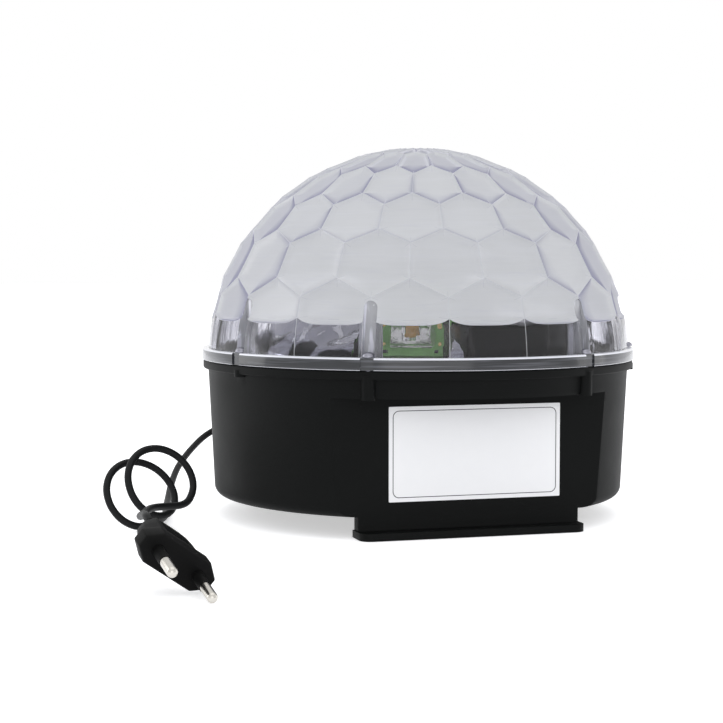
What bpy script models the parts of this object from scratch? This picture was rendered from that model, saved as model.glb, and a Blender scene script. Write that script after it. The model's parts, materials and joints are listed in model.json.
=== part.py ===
"""LED disco ball lamp: a clear faceted dome on a black bowl with a flat label side.

Metres, +Z up. The origin is on the floor under the dome's axis. The flat label side faces -Y.
An angle "around" the lamp is counted from the label side towards +X.
"""
import math

import bmesh
import bpy
from mathutils import Matrix, Vector

# Driving dimensions of the whole lamp
RIM_R = 0.100                # the dome's flange, the widest ring of the lamp
PARTING_Z = 0.072            # where dome and base meet
SEAT_GAP = 0.0003            # between pieces that rest on each other
OVERRUN = 0.004              # how far a cutter runs past what it cuts
MERGE_DISTANCE = 0.00001
SHARP_ANGLE_DEG = 35.0       # edges sharper than this stay crisp, or get their bevel

# Base bowl
BASE_FLANGE_IN = 0.0005      # how far the base's flange stays inside the dome's
BASE_FLANGE_R = RIM_R - BASE_FLANGE_IN
BAND_IN = 0.0023
BAND_R = BASE_FLANGE_R - BAND_IN    # outer radius under the flange
BOWL_TAPER = 0.0027
BOTTOM_R = BAND_R - BOWL_TAPER      # outer radius above the bottom's rounded edge
BOTTOM_Z = 0.0093            # underside of the bowl
BOTTOM_FILLET = 0.0045
BASE_FLANGE_T = 0.0037
BASE_WALL = 0.0025
BOWL_STEPS = 54
FILLET_STEPS = 3
FLAT_RIM_SHARE = 0.74
FLAT_Y = RIM_R * FLAT_RIM_SHARE     # the label side's plane, in front of the axis
LEDGE_DROP = 0.012
LEDGE_Z = PARTING_Z - LEDGE_DROP    # the flat ends here, below the round band

# Screw towers that join dome and base
SCREW_IN = 0.003
SCREW_CIRCLE_R = RIM_R - SCREW_IN
SCREW_ANGLES_DEG = (-150, -70, -30, 30, 70, 150)
BOSS_R = 0.0031
BOSS_DROP = 0.0132
BOSS_LOW_Z = PARTING_Z - BOSS_DROP
BOSS_SINK = 0.0018           # how far a boss reaches up into the flange
NOTCH_R = 0.0032
NOTCH_WALL = 0.0018
NOTCH_TOP_RISE = 0.040       # a notch cutter ends above where it leaves the dome

# Moulded foot bars
FOOT_RIM_SHARE = 0.5         # of the rim, half a bar's width
FOOT_HALF_W = RIM_R * FOOT_RIM_SHARE
FOOT_DEPTH = 0.006           # from the label side's plane inwards, and as much at the back
FOOT_SINK = 0.0015           # how far a bar is fused into the floor
LIP_T = 0.0032
LIP_FRONT = 0.0080
LIP_SIDE = 0.0018
LIP_CORNER_R = 0.0045

# Vent slots in the floor
VENT_COUNT = 5
VENT_PITCH = 0.009
VENT_WIDTH = 0.0032
VENT_LENGTH = 0.034
VENT_SHIFT_Y = 0.012

# Dome
DOME_IN = 0.002              # the flange's ledge outside the dome
DOME_R = RIM_R - DOME_IN
DOME_WALL = 0.0032
DOME_FLANGE_R = RIM_R
DOME_FLANGE_T = 0.0053
FLANGE_BEVEL = 0.0008
FACETS_ROUND = 18
ROW_ELEVATIONS_DEG = (18.1, 33.0, 45.6, 59.0, 74.0, 83.0)
SIDE_RISE_SHARE = 0.333      # a facet's side corner, as a share of its row's pitch
BAND_TOP_MID = 0.018         # clear band's top in the middle of a panel
BAND_TOP_EDGE = 0.022        # and where two panels meet
BAND_SUBSTEPS = 4            # columns of the band to one panel
DISH_DEPTH = 0.0004          # how hollow a facet is beyond flat
DISH_RING_SHARE = 0.55
DOME_INNER_STEPS = 36
DOME_INNER_ARCS = 9

# Screws: head radius, head height, shank radius, shank length
CASE_SCREW = (0.0027, 0.0020, 0.00135, 0.0160)
SMALL_SCREW = (0.0024, 0.0017, 0.0012, 0.0060)
HUB_SCREW = (0.0030, 0.0020, 0.00135, 0.0120)
SCREW_SIDES = 8
HEAD_EDGE_SHARE = 0.5
HEAD_TOP_SHARE = 0.6
RECESS_SHARE = 0.55
SLOT_WIDTH = 0.0008
SLOT_DEPTH = 0.0008
HOLE_CLEARANCE = 0.0003

# Label
LABEL_LEFT = -0.0366
LABEL_RIGHT = 0.0411
LABEL_LOW_Z = 0.0151
LABEL_LEDGE_GAP = 0.0043
LABEL_HIGH_Z = LEDGE_Z - LABEL_LEDGE_GAP
LABEL_T = 0.0003
LABEL_GAP = 0.0001

# Deck that closes the bowl
DECK_CLEARANCE = 0.0017
DECK_R = BAND_R - BASE_WALL - DECK_CLEARANCE
DECK_T = 0.0020
DECK_LOW_Z = PARTING_Z - SEAT_GAP - DECK_T
DECK_POST_R = 0.0040
DECK_POST_IN = 0.0045
DECK_POST_CIRCLE_R = DECK_R - DECK_POST_IN
DECK_POST_ANGLES_DEG = (45, 135, 225, 315)
SHAFT_HOLE_R = 0.0050
WIRE_HOLE_R = 0.0040
WIRE_HOLE_CIRCLE_R = 0.019
WIRE_HOLE_DEG = 37.0
POST_HOLE_DEPTH = 0.0080

# LED heads on a three-sided carrier
HEAD_COUNT = 3
HEAD_TURN_DEG = -23.0        # the first head looks this way
SLOPE_DEG = 50.0
CARRIER_LOW_SHARE = 0.34     # of the rim, from axis to face at the bottom
CARRIER_RISE_SHARE = 0.262
CORNER_LOW_SHARE = 0.40      # of the rim, from axis to the cut-off corner
CORNER_HIGH_SHARE = 0.195
BOARD_W_SHARE = 0.33         # of the rim
BOARD_H_SHARE = 0.30
CARRIER_LOW_R = RIM_R * CARRIER_LOW_SHARE
CARRIER_HEIGHT = RIM_R * CARRIER_RISE_SHARE
CARRIER_CORNER_LOW = RIM_R * CORNER_LOW_SHARE
CARRIER_CORNER_HIGH = RIM_R * CORNER_HIGH_SHARE
CARRIER_WALL = 0.0020
TAB_REACH = 0.0054
TAB_HALF_W = 0.0050
TAB_T = 0.0020
BOARD_W = RIM_R * BOARD_W_SHARE
BOARD_H = RIM_R * BOARD_H_SHARE
BOARD_T = 0.0016
BOARD_MID_SHARE = 0.49       # board's middle along the slope
EMITTER_R = 0.0040
EMITTER_T = 0.0016
LENS_W = 0.0215
LENS_TOP_W = 0.0185
LENS_H = 0.0100
LENS_POCKET_R = 0.0048
LENS_POCKET_H = 0.0032

# Metallised tray round the LED heads
TRAY_IN_SHARE = 0.44         # of the rim
TRAY_IN_R = RIM_R * TRAY_IN_SHARE
TRAY_CLEARANCE = 0.0093      # to the dome's inside
TRAY_OUT_R = DOME_R - DOME_WALL - TRAY_CLEARANCE
TRAY_RIM_W = 0.0055
TRAY_RIM_IN_R = TRAY_OUT_R - TRAY_RIM_W
TRAY_RISE = 0.0160
TRAY_PEAK_Z = PARTING_Z + TRAY_RISE
TRAY_T = 0.0014
TRAY_RINGS = 4
TRAY_STEPS = 54
WAVE_COUNT = 9
WAVE_HEIGHT = 0.0019
WINDOW_MARGIN = 0.0040       # beside the LED board
WINDOW_HALF_W = BOARD_W / 2 + WINDOW_MARGIN

# Black cover on the deck, over the control board
COVER_TAB_GAP = 0.0021       # between the cover and the carrier's tabs
COVER_IN_R = CARRIER_CORNER_LOW + TAB_REACH + COVER_TAB_GAP
COVER_RIM_GAP = 0.0015
COVER_OUT_R = TRAY_RIM_IN_R - COVER_RIM_GAP
COVER_START_DEG = -2.0
COVER_END_DEG = 58.0
COVER_RISE = 0.0170
COVER_TOP_Z = PARTING_Z + COVER_RISE
COVER_WALL = 0.0016
COVER_GAP_DEG = 2.0          # to the tray at both ends
COVER_STEPS = 10
CONTROL_W_SHARE = 0.34       # of the rim
CONTROL_W = RIM_R * CONTROL_W_SHARE
CONTROL_NEAR_GAP = 0.0029    # between the control board and the cover's inner wall
CONTROL_CORNER_GAP = 0.0010  # and its outer wall, at the board's corners
CHIP_W_SHARE = 0.41          # of the control board's width and depth
CHIP_D_SHARE = 0.41
CHIP_T = 0.0024

# Gear motor, shaft and turning lens
MOTOR_RIM_SHARE = 0.25
MOTOR_R = RIM_R * MOTOR_RIM_SHARE
MOTOR_H = 0.0190
MOTOR_SIDES = 28
MOTOR_EDGE_R = 0.0010
LUG_OUT = 0.0035             # from the motor's side to a lug's screw
LUG_CIRCLE_R = MOTOR_R + LUG_OUT
LUG_R = 0.0040
LUG_T = 0.0012
LUG_STEPS = 4
LUG_ANGLES_DEG = (67.0, 247.0)
SHAFT_R = 0.0035
HUB_RISE_SHARE = 0.31        # of the rim, from the parting to the hub's top
HUB_TOP_Z = PARTING_Z + RIM_R * HUB_RISE_SHARE
SHAFT_DROP = 0.0045          # the shaft ends this far below it
SHAFT_TOP_Z = HUB_TOP_Z - SHAFT_DROP
SHAFT_SINK = 0.0060
SHAFT_SIDES = 14
HUB_R = 0.0060
HUB_LOW_RISE = 0.0060
HUB_LOW_Z = PARTING_Z + HUB_LOW_RISE
HUB_FLANGE_R = 0.0140
HUB_FLANGE_T = 0.0025
HUB_SIDES = 18
ROTOR_RIM_SHARE = 0.58
ROTOR_R = RIM_R * ROTOR_RIM_SHARE
ROTOR_T = 0.0030
ROTOR_DISH = 0.0090          # how far its rim stands above its middle
ROTOR_LOBES = 9
ROTOR_LOBE_HEIGHT = 0.0030
ROTOR_RINGS = 4
ROTOR_STEPS = 36
ROTOR_BORE_R = 0.0020

# Power board on the bowl's floor
BOARD_POST_R = 0.0030
BOARD_POST_H = 0.0060
BOARD_HOLE_DEPTH = 0.0048
POWER_W = 0.084
POWER_D = 0.052
POWER_WALL_GAP = 0.0075      # between the power board and the label side's wall
POWER_HOLE_INSET = 0.0045
TRANSFORMER = (0.020, 0.018, 0.0165)
TRANSFORMER_AT_SHARES = (0.55, 0.45)
INPUT_CAP = (0.0050, 0.0160)
INPUT_CAP_AT_SHARES = (0.28, 0.62)
OUTPUT_CAP = (0.0040, 0.0120)
OUTPUT_CAP_AT_SHARES = (0.80, 0.60)
FUSE = (0.0045, 0.0080)
FUSE_AT_SHARES = (0.28, 0.28)
TERMINAL = (0.010, 0.016, 0.010)
TERMINAL_AT_SHARES = (0.10, 0.50)
ROUND_SIDES = 14
PART_EDGE_R = 0.0005

# Microphone behind a small hole in the rear wall
MIC_ANGLE_DEG = 162.0
MIC_Z = 0.040
MIC_R = 0.0030
MIC_LENGTH = 0.0040
MIC_RING_WALL = 0.0012
MIC_HOLE_R = 0.0011

# Mode switch in the rear wall
SWITCH_Z = 0.038
PAD_IN = 0.0035
PAD_Y = RIM_R - PAD_IN
PAD_HALF_W = 0.0105
PAD_HALF_H = 0.0140
PAD_ROOT_DEPTH = 0.0040
BEZEL_HALF_W = 0.0076
BEZEL_HALF_H = 0.0112
BEZEL_T = 0.0014
BODY_HALF_W = 0.0062
BODY_HALF_H = 0.0095
BODY_DEPTH = 0.0140
POCKET_HALF_W = 0.0046
POCKET_HALF_H = 0.0080
POCKET_DEPTH = 0.0105
ROCKER_HALF_W = 0.0042
ROCKER_HALF_H = 0.0070
ROCKER_END_RISE = 0.0042
ROCKER_MID_RISE = 0.0026
ROCKER_FOOT_HALF_H = 0.0050
ROCKER_FOOT_DROP = 0.0030
ROCKER_TILT_DEG = 8.0
PIVOT_IN = 0.0020            # pivot behind the pad's face
PIVOT_R = 0.0009
PIVOT_REACH = 0.0011
PIVOT_CLEARANCE = 0.0003

# Cord relief in the rear left wall
GLAND_ANGLE_DEG = -153.0
GLAND_Z = 0.035
GLAND_HOLE_R = 0.0040
GLAND_NECK_R = 0.0037
GLAND_FLANGE_R = 0.0056
GLAND_FLANGE_T = 0.0016
GLAND_COLLAR_R = 0.0050
GLAND_COLLAR_T = 0.0016
GLAND_TAIL_L = 0.0210
GLAND_TAIL_ROOT_R = 0.0038
GLAND_TAIL_TIP_R = 0.0026
GLAND_STEPS = 14

# Cord and plug
CORD_R = 0.0016
CORD_LEAD = 0.0070           # straight run at both ends
CORD_STEP = 0.0072           # between points along the cord
CORD_CURVE_STEPS = 24        # between two points of the route
CORD_FRAME_TURN_DEG = -18.0  # the route's own axes are turned this much about Z
NEIGHBOUR_POINTS = 6         # nearer along the cord than this, stretches aren't compared
# Points right and back of the cord's exit, and above the floor
CORD_OUT = (
    (-0.0140, 0.0080, 0.0320),
    (-0.0250, 0.0020, 0.0265),
    (-0.0315, -0.0120, 0.0203),
    (-0.0355, -0.0320, 0.0137),
    (-0.0360, -0.0540, 0.0076),
    (-0.0345, -0.0760, 0.0036),
    (-0.0325, -0.0970, 0.0021),
    (-0.0300, -0.1160, 0.0021),
    (-0.0298, -0.1300, 0.0021),
)
LOOP_FIRST = (-0.0400, -0.1440, 0.0144)   # centre of the loops at their start
LOOP_LAST = (-0.0260, -0.1440, 0.0232)    # and at their end
LOOP_R = 0.0146
LOOP_TURNS = 2
LOOP_POINTS = 12             # to a turn
LOOP_START_DEG = -75.0
LOOP_YAW_DEG = -45.0
LOOP_LEAN_DEG = 30.0
CORD_IN = (
    (-0.0285, -0.1630, 0.0120),
    (-0.0290, -0.1880, 0.0130),
    (-0.0260, -0.2140, 0.0160),
    (-0.0205, -0.2400, 0.0205),
)
PLUG_AT = (0.0004, -0.2980)   # the pin face's middle, in the same axes
PLUG_TURN_DEG = 24.5
PLUG_DIP_DEG = 15.5           # its pins point down this much
PLUG_ROLL_DEG = 35.5
PLUG_FACE_HALF_W = 0.0163
PLUG_FACE_HALF_T = 0.0064
PLUG_CORNER = 0.0054
PLUG_FLOOR_GAP = 0.0001
PLUG_LENGTH = 0.0345
PLUG_EDGE = 0.0006
PLUG_SHOULDER_HALF_W = 0.0131
PLUG_SHOULDER_HALF_T = 0.0061
PLUG_GRIP_HALF_W = 0.0103
PLUG_GRIP_HALF_T = 0.0056
PLUG_NECK_R = 0.0046
PLUG_TAIL_R = 0.0028
PLUG_SIDE_SHARE = 0.35       # of the half thickness, left of the cut corners
PLUG_STATION_SHARES = (0.0, 0.02, 0.20, 0.26, 0.60, 0.72, 1.0)
SLEEVE_R = 0.0022
SLEEVE_L = 0.0090
PIN_PITCH = 0.0186
PIN_R = 0.0020
PIN_CORE_R = 0.0015
PIN_TIP_L = 0.0100
PIN_SINK = 0.0080
PIN_GAP = 0.0002
PIN_SIDES = 10

# Colour, roughness, metallic and transmission of each finish
FINISHES = {
    "black_plastic": ((0.028, 0.030, 0.032), 0.42, 0.0, 0.0),
    "gloss_black": ((0.012, 0.013, 0.014), 0.12, 0.0, 0.0),
    "clear_plastic": ((0.90, 0.90, 0.94), 0.04, 0.0, 0.95),
    "mirror_plastic": ((0.86, 0.85, 0.90), 0.06, 1.0, 0.0),
    "white_paper": ((0.86, 0.86, 0.87), 0.55, 0.0, 0.0),
    "green_board": ((0.10, 0.33, 0.12), 0.35, 0.0, 0.0),
    "amber_emitter": ((0.90, 0.55, 0.10), 0.30, 0.0, 0.0),
    "zinc": ((0.62, 0.62, 0.70), 0.25, 1.0, 0.0),
    "steel": ((0.60, 0.60, 0.62), 0.30, 1.0, 0.0),
    "chrome": ((0.82, 0.82, 0.84), 0.12, 1.0, 0.0),
    "aluminium": ((0.72, 0.73, 0.75), 0.35, 1.0, 0.0),
    "white_plastic": ((0.78, 0.78, 0.76), 0.40, 0.0, 0.0),
    "yellow_tape": ((0.85, 0.66, 0.10), 0.40, 0.0, 0.0),
    "blue_terminal": ((0.06, 0.22, 0.60), 0.40, 0.0, 0.0),
    "black_rubber": ((0.022, 0.022, 0.024), 0.55, 0.0, 0.0),
}


def clear_scene():
    """Start from an empty scene."""
    for obj in list(bpy.data.objects):
        bpy.data.objects.remove(obj, do_unlink=True)


def new_collection(name):
    """A collection linked to the scene."""
    made = bpy.data.collections.new(name)
    bpy.context.scene.collection.children.link(made)
    return made


clear_scene()
PARTS = new_collection("led_disco_ball_lamp")
CUTTERS = new_collection("cutters")


def finish_material(node, finish):
    """A Principled material for one sub-part."""
    colour, roughness, metallic, transmission = FINISHES[finish]
    made = bpy.data.materials.new(node + "_" + finish)
    made.use_nodes = True
    shader = made.node_tree.nodes["Principled BSDF"]
    shader.inputs["Base Color"].default_value = (*colour, 1)
    shader.inputs["Roughness"].default_value = roughness
    shader.inputs["Metallic"].default_value = metallic
    shader.inputs["Transmission Weight"].default_value = transmission
    return made


def add_object(name, data, finish=None):
    """Link mesh or curve data as a sub-part, or as a cutter where no finish is given."""
    obj = bpy.data.objects.new(name, data)
    if finish is None:
        CUTTERS.objects.link(obj)
        obj.hide_render = True
        obj.display_type = "WIRE"
    else:
        PARTS.objects.link(obj)
        data.materials.append(finish_material(name, finish))
    return obj


def mesh_object(name, bm, finish=None):
    """Turn a finished bmesh into an object with outward faces and round surfaces shaded smooth."""
    bmesh.ops.recalc_face_normals(bm, faces=bm.faces)
    mesh = bpy.data.meshes.new(name)
    bm.to_mesh(mesh)
    bm.free()
    mesh.shade_smooth()
    mesh.set_sharp_from_angle(angle=math.radians(SHARP_ANGLE_DEG))
    return add_object(name, mesh, finish)


def boolean(target, tool, operation="DIFFERENCE"):
    """Cut, join or intersect with another object."""
    step = target.modifiers.new(tool.name, "BOOLEAN")
    step.operation = operation
    step.object = tool
    step.solver = "EXACT"


def weld(obj):
    """Merge corners that cuts leave on top of each other."""
    step = obj.modifiers.new("weld", "WELD")
    step.merge_threshold = MERGE_DISTANCE


def round_edges(obj, width):
    """Bevel the sharp edges."""
    step = obj.modifiers.new("rounded_edges", "BEVEL")
    step.width = width
    step.segments = 1
    step.limit_method = "ANGLE"
    step.angle_limit = math.radians(SHARP_ANGLE_DEG)


def around(angle_deg, radius=1):
    """Horizontal vector at an angle counted from the label side towards +X."""
    angle = math.radians(angle_deg)
    return Vector((radius * math.sin(angle), -radius * math.cos(angle), 0))


def add_block(bm, low, high):
    """A box between two corners."""
    size = [b - a for a, b in zip(low, high)]
    middle = [(a + b) / 2 for a, b in zip(low, high)]
    matrix = Matrix.Translation(middle) @ Matrix.Diagonal((*size, 1))
    bmesh.ops.create_cube(bm, size=1, matrix=matrix)


def add_rod(bm, radius, low, high, sides, at=(0, 0), top_radius=None):
    """An upright cylinder or cone between two heights."""
    top = radius if top_radius is None else top_radius
    matrix = Matrix.Translation((at[0], at[1], (low + high) / 2))
    bmesh.ops.create_cone(bm, cap_ends=True, segments=sides, radius1=radius, radius2=top,
                          depth=high - low, matrix=matrix)


def add_loft(bm, rings):
    """A closed body through rings with as many points each."""
    loops = [[bm.verts.new(point) for point in ring] for ring in rings]
    for low, high in zip(loops, loops[1:]):
        for i, corner in enumerate(low):
            j = (i + 1) % len(low)
            bm.faces.new((corner, low[j], high[j], high[i]))
    bm.faces.new(loops[0][::-1])
    bm.faces.new(loops[-1])


def turned(name, profile, steps, finish=None):
    """A profile of (radius, height) points, run from the top down, turned about Z."""
    mesh = bpy.data.meshes.new(name)
    edges = [(i, i + 1) for i in range(len(profile) - 1)]
    mesh.from_pydata([(radius, 0, height) for radius, height in profile], edges, [])
    obj = add_object(name, mesh, finish)
    screw = obj.modifiers.new("turn", "SCREW")
    screw.steps = steps
    screw.render_steps = steps
    screw.use_merge_vertices = True
    screw.merge_threshold = MERGE_DISTANCE
    screw.use_smooth_shade = True
    return obj


def arc(centre, radius, start_deg, end_deg, steps):
    """Points of an arc in (radius, height), with both ends."""
    points = []
    for i in range(steps + 1):
        angle = math.radians(start_deg + (end_deg - start_deg) * i / steps)
        points.append((centre[0] + radius * math.cos(angle), centre[1] + radius * math.sin(angle)))
    return points


def sector_rings(inner, outer, start_deg, end_deg, low, high, steps):
    """Two rings that bound a sector of a thick ring between two heights."""
    angles = [start_deg + (end_deg - start_deg) * i / steps for i in range(steps + 1)]
    outline = [around(a, outer) for a in angles] + [around(a, inner) for a in reversed(angles)]
    return [[point + Vector((0, 0, height)) for point in outline] for height in (low, high)]


def screw_points(circle_r, angles_deg):
    """Places of screws on a circle."""
    return [around(angle, circle_r) for angle in angles_deg]


def make_screw(name, size, location, axis_matrix=None):
    """A pan-head screw whose head rests on its location, shank down, with a cross recess."""
    head_r, head_h, shank_r, shank_l = size
    bm = bmesh.new()
    rings = []
    for radius, height in ((shank_r, -shank_l), (shank_r, 0), (head_r, 0),
                           (head_r, head_h * HEAD_EDGE_SHARE), (head_r * HEAD_TOP_SHARE, head_h)):
        rings.append([(radius * math.cos(t), radius * math.sin(t), height)
                      for t in (2 * math.pi * i / SCREW_SIDES for i in range(SCREW_SIDES))])
    add_loft(bm, rings)
    obj = mesh_object(name, bm, "zinc")
    cross = bmesh.new()
    reach = head_r * RECESS_SHARE
    add_block(cross, (-reach, -SLOT_WIDTH / 2, head_h - SLOT_DEPTH),
              (reach, SLOT_WIDTH / 2, head_h + OVERRUN))
    recess = mesh_object(name + "_recess", cross)
    recess.parent = obj
    boolean(obj, recess)
    lift = Matrix.Translation((0, 0, SEAT_GAP))
    obj.matrix_world = Matrix.Translation(location) @ (axis_matrix or Matrix()) @ lift
    return obj


def add_rod_along(bm, radius, start, end, sides):
    """A cylinder between two points."""
    line = end - start
    turn = line.to_track_quat("Z", "Y").to_matrix().to_4x4()
    matrix = Matrix.Translation((start + end) / 2) @ turn
    bmesh.ops.create_cone(bm, cap_ends=True, segments=sides, radius1=radius, radius2=radius,
                          depth=line.length, matrix=matrix)


def add_radial_block(bm, angle_deg, near, far, half_w, low, high):
    """A box that points away from the axis at an angle."""
    out = around(angle_deg)
    side = Vector((0, 0, 1)).cross(out)
    corners = [out * near - side * half_w, out * far - side * half_w,
               out * far + side * half_w, out * near + side * half_w]
    add_loft(bm, [[point + Vector((0, 0, height)) for point in corners] for height in (low, high)])


def add_wavy_ring(bm, inner, outer, rings, steps, surface):
    """A ring solid whose top and bottom heights follow surface(radius, angle)."""
    grid = []
    for k in range(rings + 1):
        radius = inner + (outer - inner) * k / rings
        row = []
        for i in range(steps):
            angle = 2 * math.pi * i / steps
            point = around(math.degrees(angle), radius)
            row.append([bm.verts.new((point.x, point.y, height)) for height in surface(radius, angle)])
        grid.append(row)
    for k in range(rings):
        for i in range(steps):
            j = (i + 1) % steps
            for side in (0, 1):
                bm.faces.new((grid[k][i][side], grid[k + 1][i][side],
                              grid[k + 1][j][side], grid[k][j][side]))
    for row in (grid[0], grid[-1]):
        for i in range(steps):
            j = (i + 1) % steps
            bm.faces.new((row[i][0], row[j][0], row[j][1], row[i][1]))


def smooth_curve(points, steps):
    """Points of a Catmull-Rom curve through hand-chosen points."""
    ends = [points[0] * 2 - points[1]] + list(points) + [points[-1] * 2 - points[-2]]
    made = []
    for a, b, c, d in zip(ends, ends[1:], ends[2:], ends[3:]):
        for i in range(steps):
            t = i / steps
            made.append(((b * 2) + (c - a) * t + (a * 2 - b * 5 + c * 4 - d) * t ** 2
                         + (b * 3 - a - c * 3 + d) * t ** 3) / 2)
    made.append(points[-1])
    return made


def even_points(line, step):
    """Points at an even pitch along a line of many points, with both ends."""
    lengths = [0]
    for a, b in zip(line, line[1:]):
        lengths.append(lengths[-1] + (b - a).length)
    count = max(1, round(lengths[-1] / step))
    made, at = [], 0
    for i in range(count):
        target = lengths[-1] * i / count
        while lengths[at + 1] < target:
            at += 1
        share = (target - lengths[at]) / (lengths[at + 1] - lengths[at])
        made.append(line[at].lerp(line[at + 1], share))
    return made + [line[-1]]


# Heights and places that several pieces share
BASE_TOP = PARTING_Z - SEAT_GAP
BASE_FLANGE_LOW = BASE_TOP - BASE_FLANGE_T
FLOOR_Z = BOTTOM_Z + BASE_WALL
DECK_TOP = DECK_LOW_Z + DECK_T
ON_DECK = DECK_TOP + SEAT_GAP
MOTOR_TOP = DECK_LOW_Z - SEAT_GAP
SLOPE = math.radians(SLOPE_DEG)
CARRIER_TOP = ON_DECK + CARRIER_HEIGHT
HEAD_ANGLES_DEG = tuple(HEAD_TURN_DEG + 360 / HEAD_COUNT * i for i in range(HEAD_COUNT))
CORNER_ANGLES_DEG = tuple(angle + 180 / HEAD_COUNT for angle in HEAD_ANGLES_DEG)
TAB_SCREW_R = CARRIER_CORNER_LOW + TAB_REACH / 2
POWER_LOW_X, POWER_HIGH_X = -POWER_W / 2, POWER_W / 2
POWER_LOW_Y = -FLAT_Y + BASE_WALL + POWER_WALL_GAP
POWER_HIGH_Y = POWER_LOW_Y + POWER_D
POWER_HOLES = tuple((x, y) for x in (POWER_LOW_X + POWER_HOLE_INSET, POWER_HIGH_X - POWER_HOLE_INSET)
                    for y in (POWER_LOW_Y + POWER_HOLE_INSET, POWER_HIGH_Y - POWER_HOLE_INSET))
POWER_BOARD_LOW = FLOOR_Z + BOARD_POST_H + SEAT_GAP
POWER_BOARD_TOP = POWER_BOARD_LOW + BOARD_T
CASE_HOLE_R = CASE_SCREW[2] + HOLE_CLEARANCE
SMALL_HOLE_R = SMALL_SCREW[2] + HOLE_CLEARANCE
PIVOT_Y = PAD_Y - PIVOT_IN


def wall_radius(height):
    """Outer radius of the tapered bowl at a height."""
    low = BOTTOM_Z + BOTTOM_FILLET
    return BOTTOM_R + (BAND_R - BOTTOM_R) * (height - low) / (BASE_FLANGE_LOW - low)


def bowl_outline(inset, top):
    """Half section of the bowl, moved in by the inset, from the top at the axis down."""
    middle = (BOTTOM_R - BOTTOM_FILLET, BOTTOM_Z + BOTTOM_FILLET)
    outline = [(BAND_R - inset, BASE_FLANGE_LOW)]
    outline += arc(middle, BOTTOM_FILLET - inset, 0, -90, FILLET_STEPS)
    outline.append((0, BOTTOM_Z + inset))
    if inset:
        return [(0, top), (BAND_R - inset, top)] + outline
    return [(0, top), (BASE_FLANGE_R, top), (BASE_FLANGE_R, BASE_FLANGE_LOW)] + outline


def flat_block(name, inset):
    """What the label side takes off the bowl, or off its hollow where inset."""
    bm = bmesh.new()
    add_block(bm, (-BASE_FLANGE_R, -BASE_FLANGE_R - OVERRUN, -OVERRUN),
              (BASE_FLANGE_R, -FLAT_Y + inset, LEDGE_Z + inset))
    return mesh_object(name, bm)


def foot_bar(name, near_y, side):
    """A bar under the floor with a lip at the bottom. Side is -1 at the front and 1 at the back."""
    far_y = near_y + side * FOOT_DEPTH
    bm = bmesh.new()
    add_block(bm, (-FOOT_HALF_W, min(near_y, far_y), LIP_T / 2),
              (FOOT_HALF_W, max(near_y, far_y), BOTTOM_Z + FOOT_SINK))
    bar = mesh_object(name, bm)
    lip = bmesh.new()
    lip_y = far_y + side * LIP_FRONT
    half_w = FOOT_HALF_W + LIP_SIDE
    outline = [(-half_w, near_y), (half_w, near_y)]
    for corner in (1, -1):
        for i in range(FILLET_STEPS + 1):
            turn = math.radians(90) * (i if corner > 0 else FILLET_STEPS - i) / FILLET_STEPS
            outline.append((corner * (half_w - LIP_CORNER_R * (1 - math.cos(turn))),
                            lip_y - side * LIP_CORNER_R * (1 - math.sin(turn))))
    add_loft(lip, [[(x, y, height) for x, y in outline] for height in (0, LIP_T)])
    boolean(bar, mesh_object(name + "_lip", lip), "UNION")
    return bar


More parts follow.
